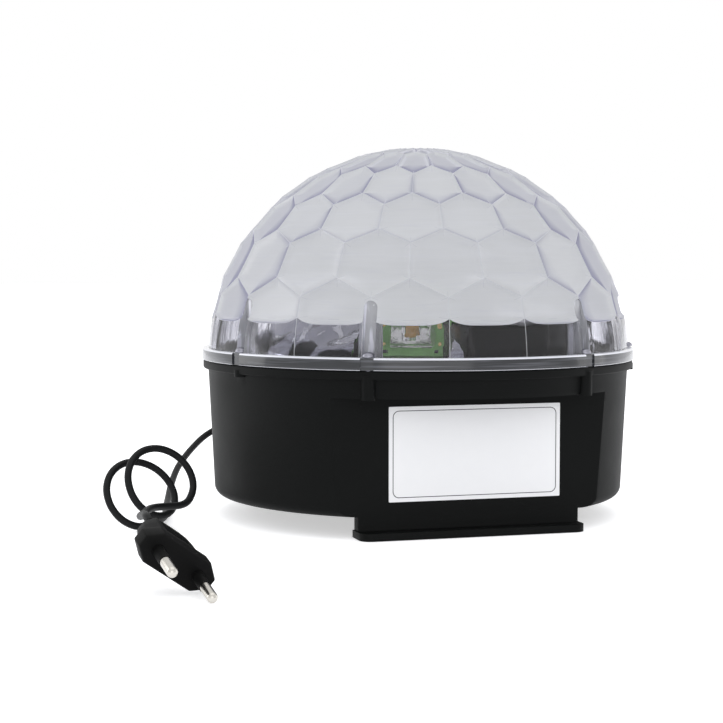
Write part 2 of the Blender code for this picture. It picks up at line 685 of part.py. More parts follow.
def make_base():
    """The bowl: flat label side, ledge, screw bosses, feet, posts and holes."""
    base = turned("base_housing", bowl_outline(0, BASE_TOP), BOWL_STEPS, "black_plastic")
    boolean(base, flat_block("flat_side", 0))
    boolean(base, foot_bar("front_foot", -FLAT_Y + FOOT_DEPTH, -1), "UNION")
    boolean(base, foot_bar("rear_foot", FLAT_Y - FOOT_DEPTH, 1), "UNION")

    outside = bmesh.new()
    for place in screw_points(SCREW_CIRCLE_R, SCREW_ANGLES_DEG):
        add_rod(outside, BOSS_R, BOSS_LOW_Z, BASE_FLANGE_LOW + BOSS_SINK, ROUND_SIDES, place)
    add_block(outside, (-PAD_HALF_W, PAD_Y - PAD_ROOT_DEPTH, SWITCH_Z - PAD_HALF_H),
              (PAD_HALF_W, PAD_Y, SWITCH_Z + PAD_HALF_H))
    boolean(base, mesh_object("bosses_and_pad", outside), "UNION")

    hollow = turned("bowl_hollow", bowl_outline(BASE_WALL, BASE_TOP + OVERRUN), BOWL_STEPS)
    boolean(hollow, flat_block("flat_side_inside", BASE_WALL))
    boolean(base, hollow)

    inside = bmesh.new()
    root = BOTTOM_Z + FOOT_SINK
    for place in screw_points(DECK_POST_CIRCLE_R, DECK_POST_ANGLES_DEG):
        add_rod(inside, DECK_POST_R, root, DECK_LOW_Z - SEAT_GAP, ROUND_SIDES, place)
    for place in POWER_HOLES:
        add_rod(inside, BOARD_POST_R, root, FLOOR_Z + BOARD_POST_H, ROUND_SIDES, place)
    mic_wall = wall_radius(MIC_Z) - BASE_WALL
    mic_height = Vector((0, 0, MIC_Z))
    ring_r = MIC_R + HOLE_CLEARANCE + MIC_RING_WALL
    add_rod_along(inside, ring_r, around(MIC_ANGLE_DEG, mic_wall - MIC_LENGTH) + mic_height,
                  around(MIC_ANGLE_DEG, mic_wall + BASE_WALL / 2) + mic_height, ROUND_SIDES)
    boolean(base, mesh_object("posts", inside), "UNION")

    holes = bmesh.new()
    for place in screw_points(SCREW_CIRCLE_R, SCREW_ANGLES_DEG):
        add_rod(holes, CASE_HOLE_R, BOSS_LOW_Z - OVERRUN, BASE_TOP + OVERRUN, SCREW_SIDES, place)
    for place in screw_points(DECK_POST_CIRCLE_R, DECK_POST_ANGLES_DEG):
        add_rod(holes, SMALL_HOLE_R, DECK_LOW_Z - POST_HOLE_DEPTH, DECK_LOW_Z + OVERRUN,
                SCREW_SIDES, place)
    for place in POWER_HOLES:
        post_top = FLOOR_Z + BOARD_POST_H
        add_rod(holes, SMALL_HOLE_R, post_top - BOARD_HOLE_DEPTH, post_top + OVERRUN,
                SCREW_SIDES, place)
    for i in range(VENT_COUNT):
        x = (i - (VENT_COUNT - 1) / 2) * VENT_PITCH
        add_block(holes, (x - VENT_WIDTH / 2, -VENT_LENGTH / 2 + VENT_SHIFT_Y, BOTTOM_Z - OVERRUN),
                  (x + VENT_WIDTH / 2, VENT_LENGTH / 2 + VENT_SHIFT_Y, FLOOR_Z + OVERRUN))
    add_block(holes, (-BODY_HALF_W - HOLE_CLEARANCE, PAD_Y - BODY_DEPTH,
                      SWITCH_Z - BODY_HALF_H - HOLE_CLEARANCE),
              (BODY_HALF_W + HOLE_CLEARANCE, PAD_Y + OVERRUN, SWITCH_Z + BODY_HALF_H + HOLE_CLEARANCE))
    gland_wall = wall_radius(GLAND_Z)
    gland_height = Vector((0, 0, GLAND_Z))
    add_rod_along(holes, GLAND_HOLE_R,
                  around(GLAND_ANGLE_DEG, gland_wall - BASE_WALL - OVERRUN) + gland_height,
                  around(GLAND_ANGLE_DEG, gland_wall + OVERRUN) + gland_height, GLAND_STEPS)
    add_rod_along(holes, MIC_HOLE_R, around(MIC_ANGLE_DEG, mic_wall) + mic_height,
                  around(MIC_ANGLE_DEG, mic_wall + BASE_WALL + OVERRUN) + mic_height, SCREW_SIDES)
    boolean(base, mesh_object("base_holes", holes))

    mic_bore = bmesh.new()
    add_rod_along(mic_bore, MIC_R + HOLE_CLEARANCE,
                  around(MIC_ANGLE_DEG, mic_wall - MIC_LENGTH - OVERRUN) + mic_height,
                  around(MIC_ANGLE_DEG, mic_wall + SEAT_GAP) + mic_height, ROUND_SIDES)
    boolean(base, mesh_object("microphone_bore", mic_bore))
    weld(base)


def dome_point(elevation_deg, angle_deg):
    """A point of the dome's sphere."""
    elevation = math.radians(elevation_deg)
    height = PARTING_Z + DOME_R * math.sin(elevation)
    return around(angle_deg, DOME_R * math.cos(elevation)) + Vector((0, 0, height))


def line_elevation(line, column):
    """Elevation of a facet corner on the zigzag line below a row, in degrees."""
    low = ROW_ELEVATIONS_DEG[line]
    above = ROW_ELEVATIONS_DEG[line + 1] if line + 1 < len(ROW_ELEVATIONS_DEG) else 90
    return low if (line + column) % 2 else low + (above - low) * SIDE_RISE_SHARE


def add_dish(bm, corners):
    """A facet, a little hollow, inside a loop of corners."""
    middle = sum((corner.co for corner in corners), Vector()) / len(corners)
    out = (middle - Vector((0, 0, PARTING_Z))).normalized()
    depth = DISH_DEPTH * (1 - DISH_RING_SHARE ** 2)
    ring = [bm.verts.new(middle.lerp(corner.co, DISH_RING_SHARE) - out * depth)
            for corner in corners]
    centre = bm.verts.new(middle - out * DISH_DEPTH)
    for i, corner in enumerate(corners):
        j = (i + 1) % len(corners)
        bm.faces.new((corner, corners[j], ring[j], ring[i]))
        bm.faces.new((ring[i], ring[j], centre))


def dome_surface():
    """Closed solid of the dome's outside, with its facets and the clear band below them."""
    bm = bmesh.new()
    columns = 2 * FACETS_ROUND
    column_deg = 360 / columns
    lines = [[bm.verts.new(dome_point(line_elevation(line, i), i * column_deg))
              for i in range(columns)] for line in range(len(ROW_ELEVATIONS_DEG))]
    band_columns = BAND_SUBSTEPS * FACETS_ROUND
    foot, half, top = [], [], []
    for i in range(band_columns):
        angle_deg = (i / BAND_SUBSTEPS - 1 / 2) * 2 * column_deg
        across = 2 * (i % BAND_SUBSTEPS) / BAND_SUBSTEPS - 1
        rise = BAND_TOP_MID + (BAND_TOP_EDGE - BAND_TOP_MID) * across ** 2
        for row, height in ((foot, DOME_FLANGE_T / 2), (half, rise / 2), (top, rise)):
            row.append(bm.verts.new(dome_point(math.degrees(math.asin(height / DOME_R)), angle_deg)))
    for i in range(band_columns):
        j = (i + 1) % band_columns
        bm.faces.new((foot[i], foot[j], half[j], half[i]))
        bm.faces.new((half[i], half[j], top[j], top[i]))
    bm.faces.new(foot[::-1])
    for panel in range(FACETS_ROUND):
        column = 2 * panel
        first = panel * BAND_SUBSTEPS
        sill = [top[(first + i) % band_columns] for i in range(BAND_SUBSTEPS + 1)]
        corners = [lines[0][(column + 1) % columns], lines[0][column], lines[0][column - 1]]
        add_dish(bm, sill + corners)
    for row in range(len(lines) - 1):
        low, high = lines[row], lines[row + 1]
        for column in range((row + 1) % 2, columns, 2):
            left, right = column - 1, (column + 1) % columns
            add_dish(bm, [low[column], low[right], high[right], high[column], high[left], low[left]])
    add_dish(bm, lines[-1])
    return bm


def make_dome():
    """The clear dome with its flange, screw notches and their walls."""
    dome = mesh_object("dome_cover", dome_surface(), "clear_plastic")
    top = PARTING_Z + DOME_FLANGE_T
    notch_top = PARTING_Z + NOTCH_TOP_RISE
    towers = bmesh.new()
    notches = bmesh.new()
    holes = bmesh.new()
    for place in screw_points(SCREW_CIRCLE_R, SCREW_ANGLES_DEG):
        add_rod(towers, NOTCH_R + NOTCH_WALL, PARTING_Z - 2 * OVERRUN, notch_top, ROUND_SIDES, place)
        add_rod(notches, NOTCH_R, PARTING_Z - OVERRUN, notch_top, ROUND_SIDES, place)
        add_rod(holes, CASE_HOLE_R, PARTING_Z - OVERRUN, top + OVERRUN, SCREW_SIDES, place)
    boolean(dome, mesh_object("notches", notches))

    flange = turned("dome_flange", [(0, top), (DOME_FLANGE_R - FLANGE_BEVEL, top),
                                    (DOME_FLANGE_R, top - FLANGE_BEVEL), (DOME_FLANGE_R, PARTING_Z),
                                    (0, PARTING_Z)], BOWL_STEPS)
    boolean(dome, flange, "UNION")

    inner_r = DOME_R - DOME_WALL
    outline = arc((0, PARTING_Z), inner_r, 90, 0, DOME_INNER_ARCS)
    outline[0] = (0, PARTING_Z + inner_r)
    outline += [(inner_r, PARTING_Z - OVERRUN), (0, PARTING_Z - OVERRUN)]
    hollow = turned("dome_hollow", outline, DOME_INNER_STEPS)
    boolean(hollow, mesh_object("notch_walls", towers))
    boolean(dome, hollow)
    boolean(dome, mesh_object("flange_holes", holes))
    weld(dome)
    for number, place in enumerate(screw_points(SCREW_CIRCLE_R, SCREW_ANGLES_DEG), 1):
        make_screw("dome_screw_%d" % number, CASE_SCREW, place + Vector((0, 0, top)))


def make_label():
    """The bare label plate on the flat side."""
    bm = bmesh.new()
    front = -FLAT_Y - LABEL_GAP - LABEL_T
    add_block(bm, (LABEL_LEFT, front, LABEL_LOW_Z), (LABEL_RIGHT, -FLAT_Y - LABEL_GAP, LABEL_HIGH_Z))
    mesh_object("label_plate", bm, "white_paper")


def make_deck():
    """The black plate on the posts, with its holes and screws."""
    bm = bmesh.new()
    add_rod(bm, DECK_R, DECK_LOW_Z, DECK_TOP, BOWL_STEPS)
    deck = mesh_object("deck_plate", bm, "black_plastic")
    holes = bmesh.new()
    low, high = DECK_LOW_Z - OVERRUN, DECK_TOP + OVERRUN
    add_rod(holes, SHAFT_HOLE_R, low, high, ROUND_SIDES)
    add_rod(holes, WIRE_HOLE_R, low, high, ROUND_SIDES, around(WIRE_HOLE_DEG, WIRE_HOLE_CIRCLE_R))
    for place in (screw_points(DECK_POST_CIRCLE_R, DECK_POST_ANGLES_DEG)
                  + screw_points(TAB_SCREW_R, CORNER_ANGLES_DEG)
                  + screw_points(LUG_CIRCLE_R, LUG_ANGLES_DEG)):
        add_rod(holes, SMALL_HOLE_R, low, high, SCREW_SIDES, place)
    boolean(deck, mesh_object("deck_holes", holes))
    for number, place in enumerate(screw_points(DECK_POST_CIRCLE_R, DECK_POST_ANGLES_DEG), 1):
        make_screw("deck_screw_%d" % number, SMALL_SCREW, place + Vector((0, 0, DECK_TOP)))


def carrier_ring(height, inset):
    """Six-sided section of the LED carrier at a height, moved in by the inset."""
    share = (height - ON_DECK) / CARRIER_HEIGHT
    face = CARRIER_LOW_R - (height - ON_DECK) / math.tan(SLOPE) - inset
    corner = CARRIER_CORNER_LOW + (CARRIER_CORNER_HIGH - CARRIER_CORNER_LOW) * share - inset
    corner_turn = math.pi / HEAD_COUNT
    half_w = (corner - face * math.cos(corner_turn)) / math.sin(corner_turn)
    points = []
    for angle in HEAD_ANGLES_DEG:
        out = around(angle)
        side = Vector((0, 0, 1)).cross(out)
        for way in (-1, 1):
            points.append(out * face + side * half_w * way + Vector((0, 0, height)))
    return points


def make_carrier():
    """The hollow three-sided carrier of the LED heads, with its screw tabs."""
    bm = bmesh.new()
    add_loft(bm, [carrier_ring(ON_DECK, 0), carrier_ring(CARRIER_TOP, 0)])
    carrier = mesh_object("led_carrier", bm, "gloss_black")
    tabs = bmesh.new()
    for angle in CORNER_ANGLES_DEG:
        add_radial_block(tabs, angle, CARRIER_CORNER_LOW - TAB_REACH,
                         CARRIER_CORNER_LOW + TAB_REACH, TAB_HALF_W, ON_DECK, ON_DECK + TAB_T)
    boolean(carrier, mesh_object("carrier_tabs", tabs), "UNION")
    inset = CARRIER_WALL / math.sin(SLOPE)
    hollow = bmesh.new()
    add_loft(hollow, [carrier_ring(ON_DECK - OVERRUN, inset),
                      carrier_ring(CARRIER_TOP - CARRIER_WALL, inset)])
    boolean(carrier, mesh_object("carrier_hollow", hollow))
    holes = bmesh.new()
    add_rod(holes, HUB_R + CARRIER_WALL, CARRIER_TOP - 2 * CARRIER_WALL, CARRIER_TOP + OVERRUN,
            HUB_SIDES)
    for place in screw_points(TAB_SCREW_R, CORNER_ANGLES_DEG):
        add_rod(holes, SMALL_HOLE_R, ON_DECK - OVERRUN, ON_DECK + OVERRUN, SCREW_SIDES, place)
    boolean(carrier, mesh_object("carrier_holes", holes))
    for number, place in enumerate(screw_points(TAB_SCREW_R, CORNER_ANGLES_DEG), 1):
        make_screw("carrier_screw_%d" % number, SMALL_SCREW,
                   place + Vector((0, 0, ON_DECK + TAB_T)))


def make_heads():
    """Three boards on the carrier's faces, each with an LED and a clear lens over it."""
    along = CARRIER_HEIGHT / math.sin(SLOPE) * BOARD_MID_SHARE
    for number, angle in enumerate(HEAD_ANGLES_DEG, 1):
        out, up = around(angle), Vector((0, 0, 1))
        slope_up = up * math.sin(SLOPE) - out * math.cos(SLOPE)
        normal = out * math.sin(SLOPE) + up * math.cos(SLOPE)
        foot = out * CARRIER_LOW_R + up * ON_DECK
        turn = Matrix((up.cross(out), slope_up, normal)).transposed().to_4x4()
        place = Matrix.Translation(foot + slope_up * along + normal * SEAT_GAP) @ turn

        bm = bmesh.new()
        add_block(bm, (-BOARD_W / 2, -BOARD_H / 2, 0), (BOARD_W / 2, BOARD_H / 2, BOARD_T))
        board = mesh_object("led_board_%d" % number, bm, "green_board")
        board.matrix_world = place

        on_board = place @ Matrix.Translation((0, 0, BOARD_T + SEAT_GAP))
        bm = bmesh.new()
        add_rod(bm, EMITTER_R, 0, EMITTER_T, ROUND_SIDES)
        emitter = mesh_object("led_emitter_%d" % number, bm, "amber_emitter")
        emitter.matrix_world = on_board

        bm = bmesh.new()
        rings = []
        for half, height in ((LENS_W / 2, 0), (LENS_TOP_W / 2, LENS_H)):
            rings.append([(x * half, y * half, height)
                          for x, y in ((-1, -1), (1, -1), (1, 1), (-1, 1))])
        add_loft(bm, rings)
        lens = mesh_object("led_lens_%d" % number, bm, "clear_plastic")
        pocket = bmesh.new()
        add_rod(pocket, LENS_POCKET_R, -OVERRUN, LENS_POCKET_H, ROUND_SIDES)
        pocket = mesh_object("lens_pocket_%d" % number, pocket)
        pocket.parent = lens
        boolean(lens, pocket)
        lens.matrix_world = on_board


def tray_surface(radius, angle):
    """Bottom and top of the metallised tray: a flat rim, then a wavy cone."""
    share = min(1, max(0, (TRAY_RIM_IN_R - radius) / (TRAY_RIM_IN_R - TRAY_IN_R)))
    rim = ON_DECK + TRAY_T
    wave = WAVE_HEIGHT * math.sin(WAVE_COUNT * angle) * math.sin(math.pi * share)
    top = rim + (TRAY_PEAK_Z - rim) * share + wave
    return top - TRAY_T, top


def make_tray():
    """The metallised tray, open at the LED heads and at the black cover."""
    bm = bmesh.new()
    add_wavy_ring(bm, TRAY_IN_R, TRAY_OUT_R, TRAY_RINGS, TRAY_STEPS, tray_surface)
    tray = mesh_object("reflector_tray", bm, "mirror_plastic")
    low, high = ON_DECK - OVERRUN, TRAY_PEAK_Z + OVERRUN
    windows = bmesh.new()
    for angle in HEAD_ANGLES_DEG:
        add_radial_block(windows, angle, CARRIER_LOW_R, TRAY_RIM_IN_R, WINDOW_HALF_W, low, high)
    boolean(tray, mesh_object("head_windows", windows))
    gap = bmesh.new()
    add_loft(gap, sector_rings(TRAY_IN_R - OVERRUN, TRAY_RIM_IN_R, COVER_START_DEG - COVER_GAP_DEG,
                               COVER_END_DEG + COVER_GAP_DEG, low, high, COVER_STEPS))
    boolean(tray, mesh_object("cover_window", gap))


def make_cover():
    """The black cover on the right of the deck, over the control board and its chip."""
    bm = bmesh.new()
    add_loft(bm, sector_rings(COVER_IN_R, COVER_OUT_R, COVER_START_DEG, COVER_END_DEG,
                              ON_DECK, COVER_TOP_Z, COVER_STEPS))
    cover = mesh_object("driver_cover", bm, "gloss_black")
    inset_deg = math.degrees(COVER_WALL / COVER_IN_R)
    hollow = bmesh.new()
    add_loft(hollow, sector_rings(COVER_IN_R + COVER_WALL, COVER_OUT_R - COVER_WALL,
                                  COVER_START_DEG + inset_deg, COVER_END_DEG - inset_deg,
                                  ON_DECK - OVERRUN, COVER_TOP_Z - COVER_WALL, COVER_STEPS))
    boolean(cover, mesh_object("cover_hollow", hollow))

    middle_deg = (COVER_START_DEG + COVER_END_DEG) / 2
    near = COVER_IN_R + COVER_WALL + CONTROL_NEAR_GAP
    corner_r = COVER_OUT_R - COVER_WALL - CONTROL_CORNER_GAP
    far = math.sqrt(corner_r ** 2 - (CONTROL_W / 2) ** 2)
    board = bmesh.new()
    add_radial_block(board, middle_deg, near, far, CONTROL_W / 2, ON_DECK, ON_DECK + BOARD_T)
    mesh_object("control_board", board, "green_board")
    chip = bmesh.new()
    low = ON_DECK + BOARD_T + SEAT_GAP
    middle, half_d = (near + far) / 2, (far - near) * CHIP_D_SHARE / 2
    add_radial_block(chip, middle_deg, middle - half_d, middle + half_d,
                     CONTROL_W * CHIP_W_SHARE / 2, low, low + CHIP_T)
    mesh_object("control_chip", chip, "black_plastic")


def lug_ring(angle_deg, height):
    """Outline of a motor lug with a round end."""
    out = around(angle_deg)
    side = Vector((0, 0, 1)).cross(out)
    up = Vector((0, 0, height))
    points = [out * (MOTOR_R - LUG_R) - side * LUG_R + up]
    for i in range(LUG_STEPS + 1):
        turn = math.pi * (i / LUG_STEPS - 1 / 2)
        points.append(out * (LUG_CIRCLE_R + LUG_R * math.cos(turn)) + side * LUG_R * math.sin(turn) + up)
    points.append(out * (MOTOR_R - LUG_R) + side * LUG_R + up)
    return points


def make_motor():
    """The flat gear motor under the deck, and its screws."""
    bm = bmesh.new()
    add_rod(bm, MOTOR_R, MOTOR_TOP - MOTOR_H, MOTOR_TOP, MOTOR_SIDES)
    motor = mesh_object("gear_motor", bm, "aluminium")
    round_edges(motor, MOTOR_EDGE_R)
    lugs = bmesh.new()
    for angle in LUG_ANGLES_DEG:
        add_loft(lugs, [lug_ring(angle, MOTOR_TOP - MOTOR_EDGE_R - LUG_T),
                        lug_ring(angle, MOTOR_TOP - MOTOR_EDGE_R)])
    boolean(motor, mesh_object("motor_lugs", lugs), "UNION")
    holes = bmesh.new()
    add_rod(holes, SHAFT_R + HOLE_CLEARANCE, MOTOR_TOP - SHAFT_SINK, MOTOR_TOP + OVERRUN, SHAFT_SIDES)
    for place in screw_points(LUG_CIRCLE_R, LUG_ANGLES_DEG):
        add_rod(holes, SMALL_HOLE_R, MOTOR_TOP - OVERRUN, MOTOR_TOP + OVERRUN, SCREW_SIDES, place)
    boolean(motor, mesh_object("motor_holes", holes))
    for number, place in enumerate(screw_points(LUG_CIRCLE_R, LUG_ANGLES_DEG), 1):
        make_screw("motor_screw_%d" % number, SMALL_SCREW, place + Vector((0, 0, DECK_TOP)))


def rotor_surface(radius, angle):
    """Bottom and top of the turning lens: flat on its hub, then a dish with lobes."""
    share = max(0, (radius - HUB_FLANGE_R) / (ROTOR_R - HUB_FLANGE_R))
    low = HUB_TOP_Z + SEAT_GAP + ROTOR_DISH * share ** 2
    lobe = (1 + math.cos(ROTOR_LOBES * angle)) / 2 * math.sin(math.pi * share)
    return low, low + ROTOR_T + ROTOR_LOBE_HEIGHT * lobe


def make_rotor():
    """What turns: shaft, hub, clear lens and hub screw, all on the lamp's axis."""
    spin = bpy.data.objects.new("rotor_axis", None)
    PARTS.objects.link(spin)
    spin.location.z = MOTOR_TOP
    shaft_low = MOTOR_TOP - SHAFT_SINK + SEAT_GAP
    bm = bmesh.new()
    add_rod(bm, SHAFT_R, shaft_low, SHAFT_TOP_Z, SHAFT_SIDES)
    shaft = mesh_object("motor_shaft", bm, "steel")
    bore = bmesh.new()
    screw_low = HUB_TOP_Z + 2 * SEAT_GAP + ROTOR_T - HUB_SCREW[3]
    add_rod(bore, HUB_SCREW[2] + HOLE_CLEARANCE, screw_low - SEAT_GAP, SHAFT_TOP_Z + OVERRUN,
            SCREW_SIDES)
    boolean(shaft, mesh_object("shaft_bore", bore))

    hub_profile = [(0, HUB_TOP_Z), (HUB_FLANGE_R, HUB_TOP_Z), (HUB_FLANGE_R, HUB_TOP_Z - HUB_FLANGE_T),
                   (HUB_R, HUB_TOP_Z - HUB_FLANGE_T), (HUB_R, HUB_LOW_Z), (0, HUB_LOW_Z)]
    hub = turned("rotor_hub", hub_profile, HUB_SIDES, "white_plastic")
    seat = bmesh.new()
    add_rod(seat, SHAFT_R + HOLE_CLEARANCE, HUB_LOW_Z - OVERRUN, SHAFT_TOP_Z + SEAT_GAP, SHAFT_SIDES)
    boolean(hub, mesh_object("hub_seat", seat))
    hole = bmesh.new()
    add_rod(hole, HUB_SCREW[2] + HOLE_CLEARANCE, SHAFT_TOP_Z, HUB_TOP_Z + OVERRUN, SCREW_SIDES)
    boolean(hub, mesh_object("hub_hole", hole))

    bm = bmesh.new()
    add_wavy_ring(bm, ROTOR_BORE_R, ROTOR_R, ROTOR_RINGS, ROTOR_STEPS, rotor_surface)
    lens = mesh_object("lens_rotor", bm, "clear_plastic")
    screw = make_screw("hub_screw", HUB_SCREW,
                       Vector((0, 0, HUB_TOP_Z + SEAT_GAP + ROTOR_T)))
    for piece in (shaft, hub, lens, screw):
        piece.parent = spin
        piece.matrix_parent_inverse = Matrix.Translation((0, 0, -MOTOR_TOP))


def on_power_board(shares):
    """A place on the power board, given as shares of its width and depth."""
    return (POWER_LOW_X + (POWER_HIGH_X - POWER_LOW_X) * shares[0],
            POWER_LOW_Y + (POWER_HIGH_Y - POWER_LOW_Y) * shares[1])


def make_power_board():
    """The power board on its posts, its parts and its screws."""
    bm = bmesh.new()
    add_block(bm, (POWER_LOW_X, POWER_LOW_Y, POWER_BOARD_LOW),
              (POWER_HIGH_X, POWER_HIGH_Y, POWER_BOARD_TOP))
    board = mesh_object("power_board", bm, "green_board")
    holes = bmesh.new()
    for place in POWER_HOLES:
        add_rod(holes, SMALL_HOLE_R, POWER_BOARD_LOW - OVERRUN, POWER_BOARD_TOP + OVERRUN,
                SCREW_SIDES, place)
    boolean(board, mesh_object("power_board_holes", holes))
    for number, place in enumerate(POWER_HOLES, 1):
        make_screw("board_screw_%d" % number, SMALL_SCREW, Vector((*place, POWER_BOARD_TOP)))

    low = POWER_BOARD_TOP + SEAT_GAP
    for name, size, shares, finish in (("transformer", TRANSFORMER, TRANSFORMER_AT_SHARES, "yellow_tape"),
                                       ("terminal_block", TERMINAL, TERMINAL_AT_SHARES, "blue_terminal")):
        x, y = on_power_board(shares)
        bm = bmesh.new()
        add_block(bm, (x - size[0] / 2, y - size[1] / 2, low),
                  (x + size[0] / 2, y + size[1] / 2, low + size[2]))
        round_edges(mesh_object(name, bm, finish), PART_EDGE_R)
    for name, size, shares, finish in (("input_capacitor", INPUT_CAP, INPUT_CAP_AT_SHARES, "gloss_black"),
                                       ("output_capacitor", OUTPUT_CAP, OUTPUT_CAP_AT_SHARES, "gloss_black"),
                                       ("fuse", FUSE, FUSE_AT_SHARES, "white_plastic")):
        bm = bmesh.new()
        add_rod(bm, size[0], low, low + size[1], ROUND_SIDES, on_power_board(shares))
        round_edges(mesh_object(name, bm, finish), PART_EDGE_R)


def make_microphone():
    """The microphone capsule in its ring behind the rear wall."""
    inner = wall_radius(MIC_Z) - BASE_WALL
    height = Vector((0, 0, MIC_Z))
    bm = bmesh.new()
    add_rod_along(bm, MIC_R, around(MIC_ANGLE_DEG, inner - MIC_LENGTH) + height,
                  around(MIC_ANGLE_DEG, inner) + height, ROUND_SIDES)
    mesh_object("microphone", bm, "steel")


def make_switch():
    """The mode switch in the rear wall, with its rocker on a pivot."""
    face = PAD_Y + SEAT_GAP
    bm = bmesh.new()
    rings = []
    for half_w, half_h, y in ((BODY_HALF_W, BODY_HALF_H, PAD_Y - BODY_DEPTH),
                              (BODY_HALF_W, BODY_HALF_H, face),
                              (BEZEL_HALF_W, BEZEL_HALF_H, face),
                              (BEZEL_HALF_W, BEZEL_HALF_H, face + BEZEL_T)):
        rings.append([(x * half_w, y, SWITCH_Z + z * half_h)
                      for x, z in ((-1, -1), (1, -1), (1, 1), (-1, 1))])
    add_loft(bm, rings)
    body = mesh_object("switch_body", bm, "gloss_black")
    pocket = bmesh.new()
    add_block(pocket, (-POCKET_HALF_W, PAD_Y - POCKET_DEPTH, SWITCH_Z - POCKET_HALF_H),
              (POCKET_HALF_W, face + OVERRUN, SWITCH_Z + POCKET_HALF_H))
    boolean(body, mesh_object("switch_pocket", pocket))
    pivot = Vector((0, PIVOT_Y, SWITCH_Z))
    holes = bmesh.new()
    half = Vector((ROCKER_HALF_W + PIVOT_REACH + PIVOT_CLEARANCE, 0, 0))
    add_rod_along(holes, PIVOT_R + PIVOT_CLEARANCE, pivot - half, pivot + half, SCREW_SIDES)
    boolean(body, mesh_object("pivot_holes", holes))

    bm = bmesh.new()
    outline = ((ROCKER_HALF_H, ROCKER_END_RISE), (0, ROCKER_MID_RISE),
               (-ROCKER_HALF_H, ROCKER_END_RISE), (-ROCKER_FOOT_HALF_H, -ROCKER_FOOT_DROP),
               (ROCKER_FOOT_HALF_H, -ROCKER_FOOT_DROP))
    add_loft(bm, [[(x, y, z) for z, y in outline] for x in (-ROCKER_HALF_W, ROCKER_HALF_W)])
    rocker = mesh_object("switch_rocker", bm, "black_plastic")
    stubs = bmesh.new()
    reach = Vector((ROCKER_HALF_W + PIVOT_REACH, 0, 0))
    add_rod_along(stubs, PIVOT_R, -reach, reach, SCREW_SIDES)
    pins = mesh_object("rocker_pins", stubs)
    pins.parent = rocker
    boolean(rocker, pins, "UNION")
    rocker.location = pivot
    rocker.rotation_euler.x = -math.radians(ROCKER_TILT_DEG)


def make_gland():
    """The tapered strain relief in the rear wall. Returns its tip and the way it points."""
    low = -BASE_WALL - 2 * SEAT_GAP
    flange_top = SEAT_GAP + GLAND_FLANGE_T
    tip = flange_top + GLAND_TAIL_L
    profile = [(0, tip), (GLAND_TAIL_TIP_R, tip), (GLAND_TAIL_ROOT_R, flange_top),
               (GLAND_FLANGE_R, flange_top), (GLAND_FLANGE_R, SEAT_GAP), (GLAND_NECK_R, SEAT_GAP),
               (GLAND_NECK_R, low), (GLAND_COLLAR_R, low), (GLAND_COLLAR_R, low - GLAND_COLLAR_T),
               (0, low - GLAND_COLLAR_T)]
    relief = turned("cord_relief", profile, GLAND_STEPS, "black_rubber")
    out = around(GLAND_ANGLE_DEG)
    foot = out * wall_radius(GLAND_Z) + Vector((0, 0, GLAND_Z))
    relief.matrix_world = Matrix.Translation(foot) @ out.to_track_quat("Z", "Y").to_matrix().to_4x4()
    return foot + out * tip, out


def laid(right, back, height):
    """A direction, or a way from the cord's exit, given in the cord's own axes."""
    return Matrix.Rotation(math.radians(CORD_FRAME_TURN_DEG), 3, "Z") @ Vector((right, back, height))


def plug_ring(half_w, half_t, corner, depth):
    """Eight-cornered section of the plug, behind its pin face."""
    side = half_t * PLUG_SIDE_SHARE
    flat = half_w - corner
    return [(x, y, -depth) for x, y in (
        (flat, half_t), (-flat, half_t), (-half_w, side), (-half_w, -side),
        (-flat, -half_t), (flat, -half_t), (half_w, -side), (half_w, side))]


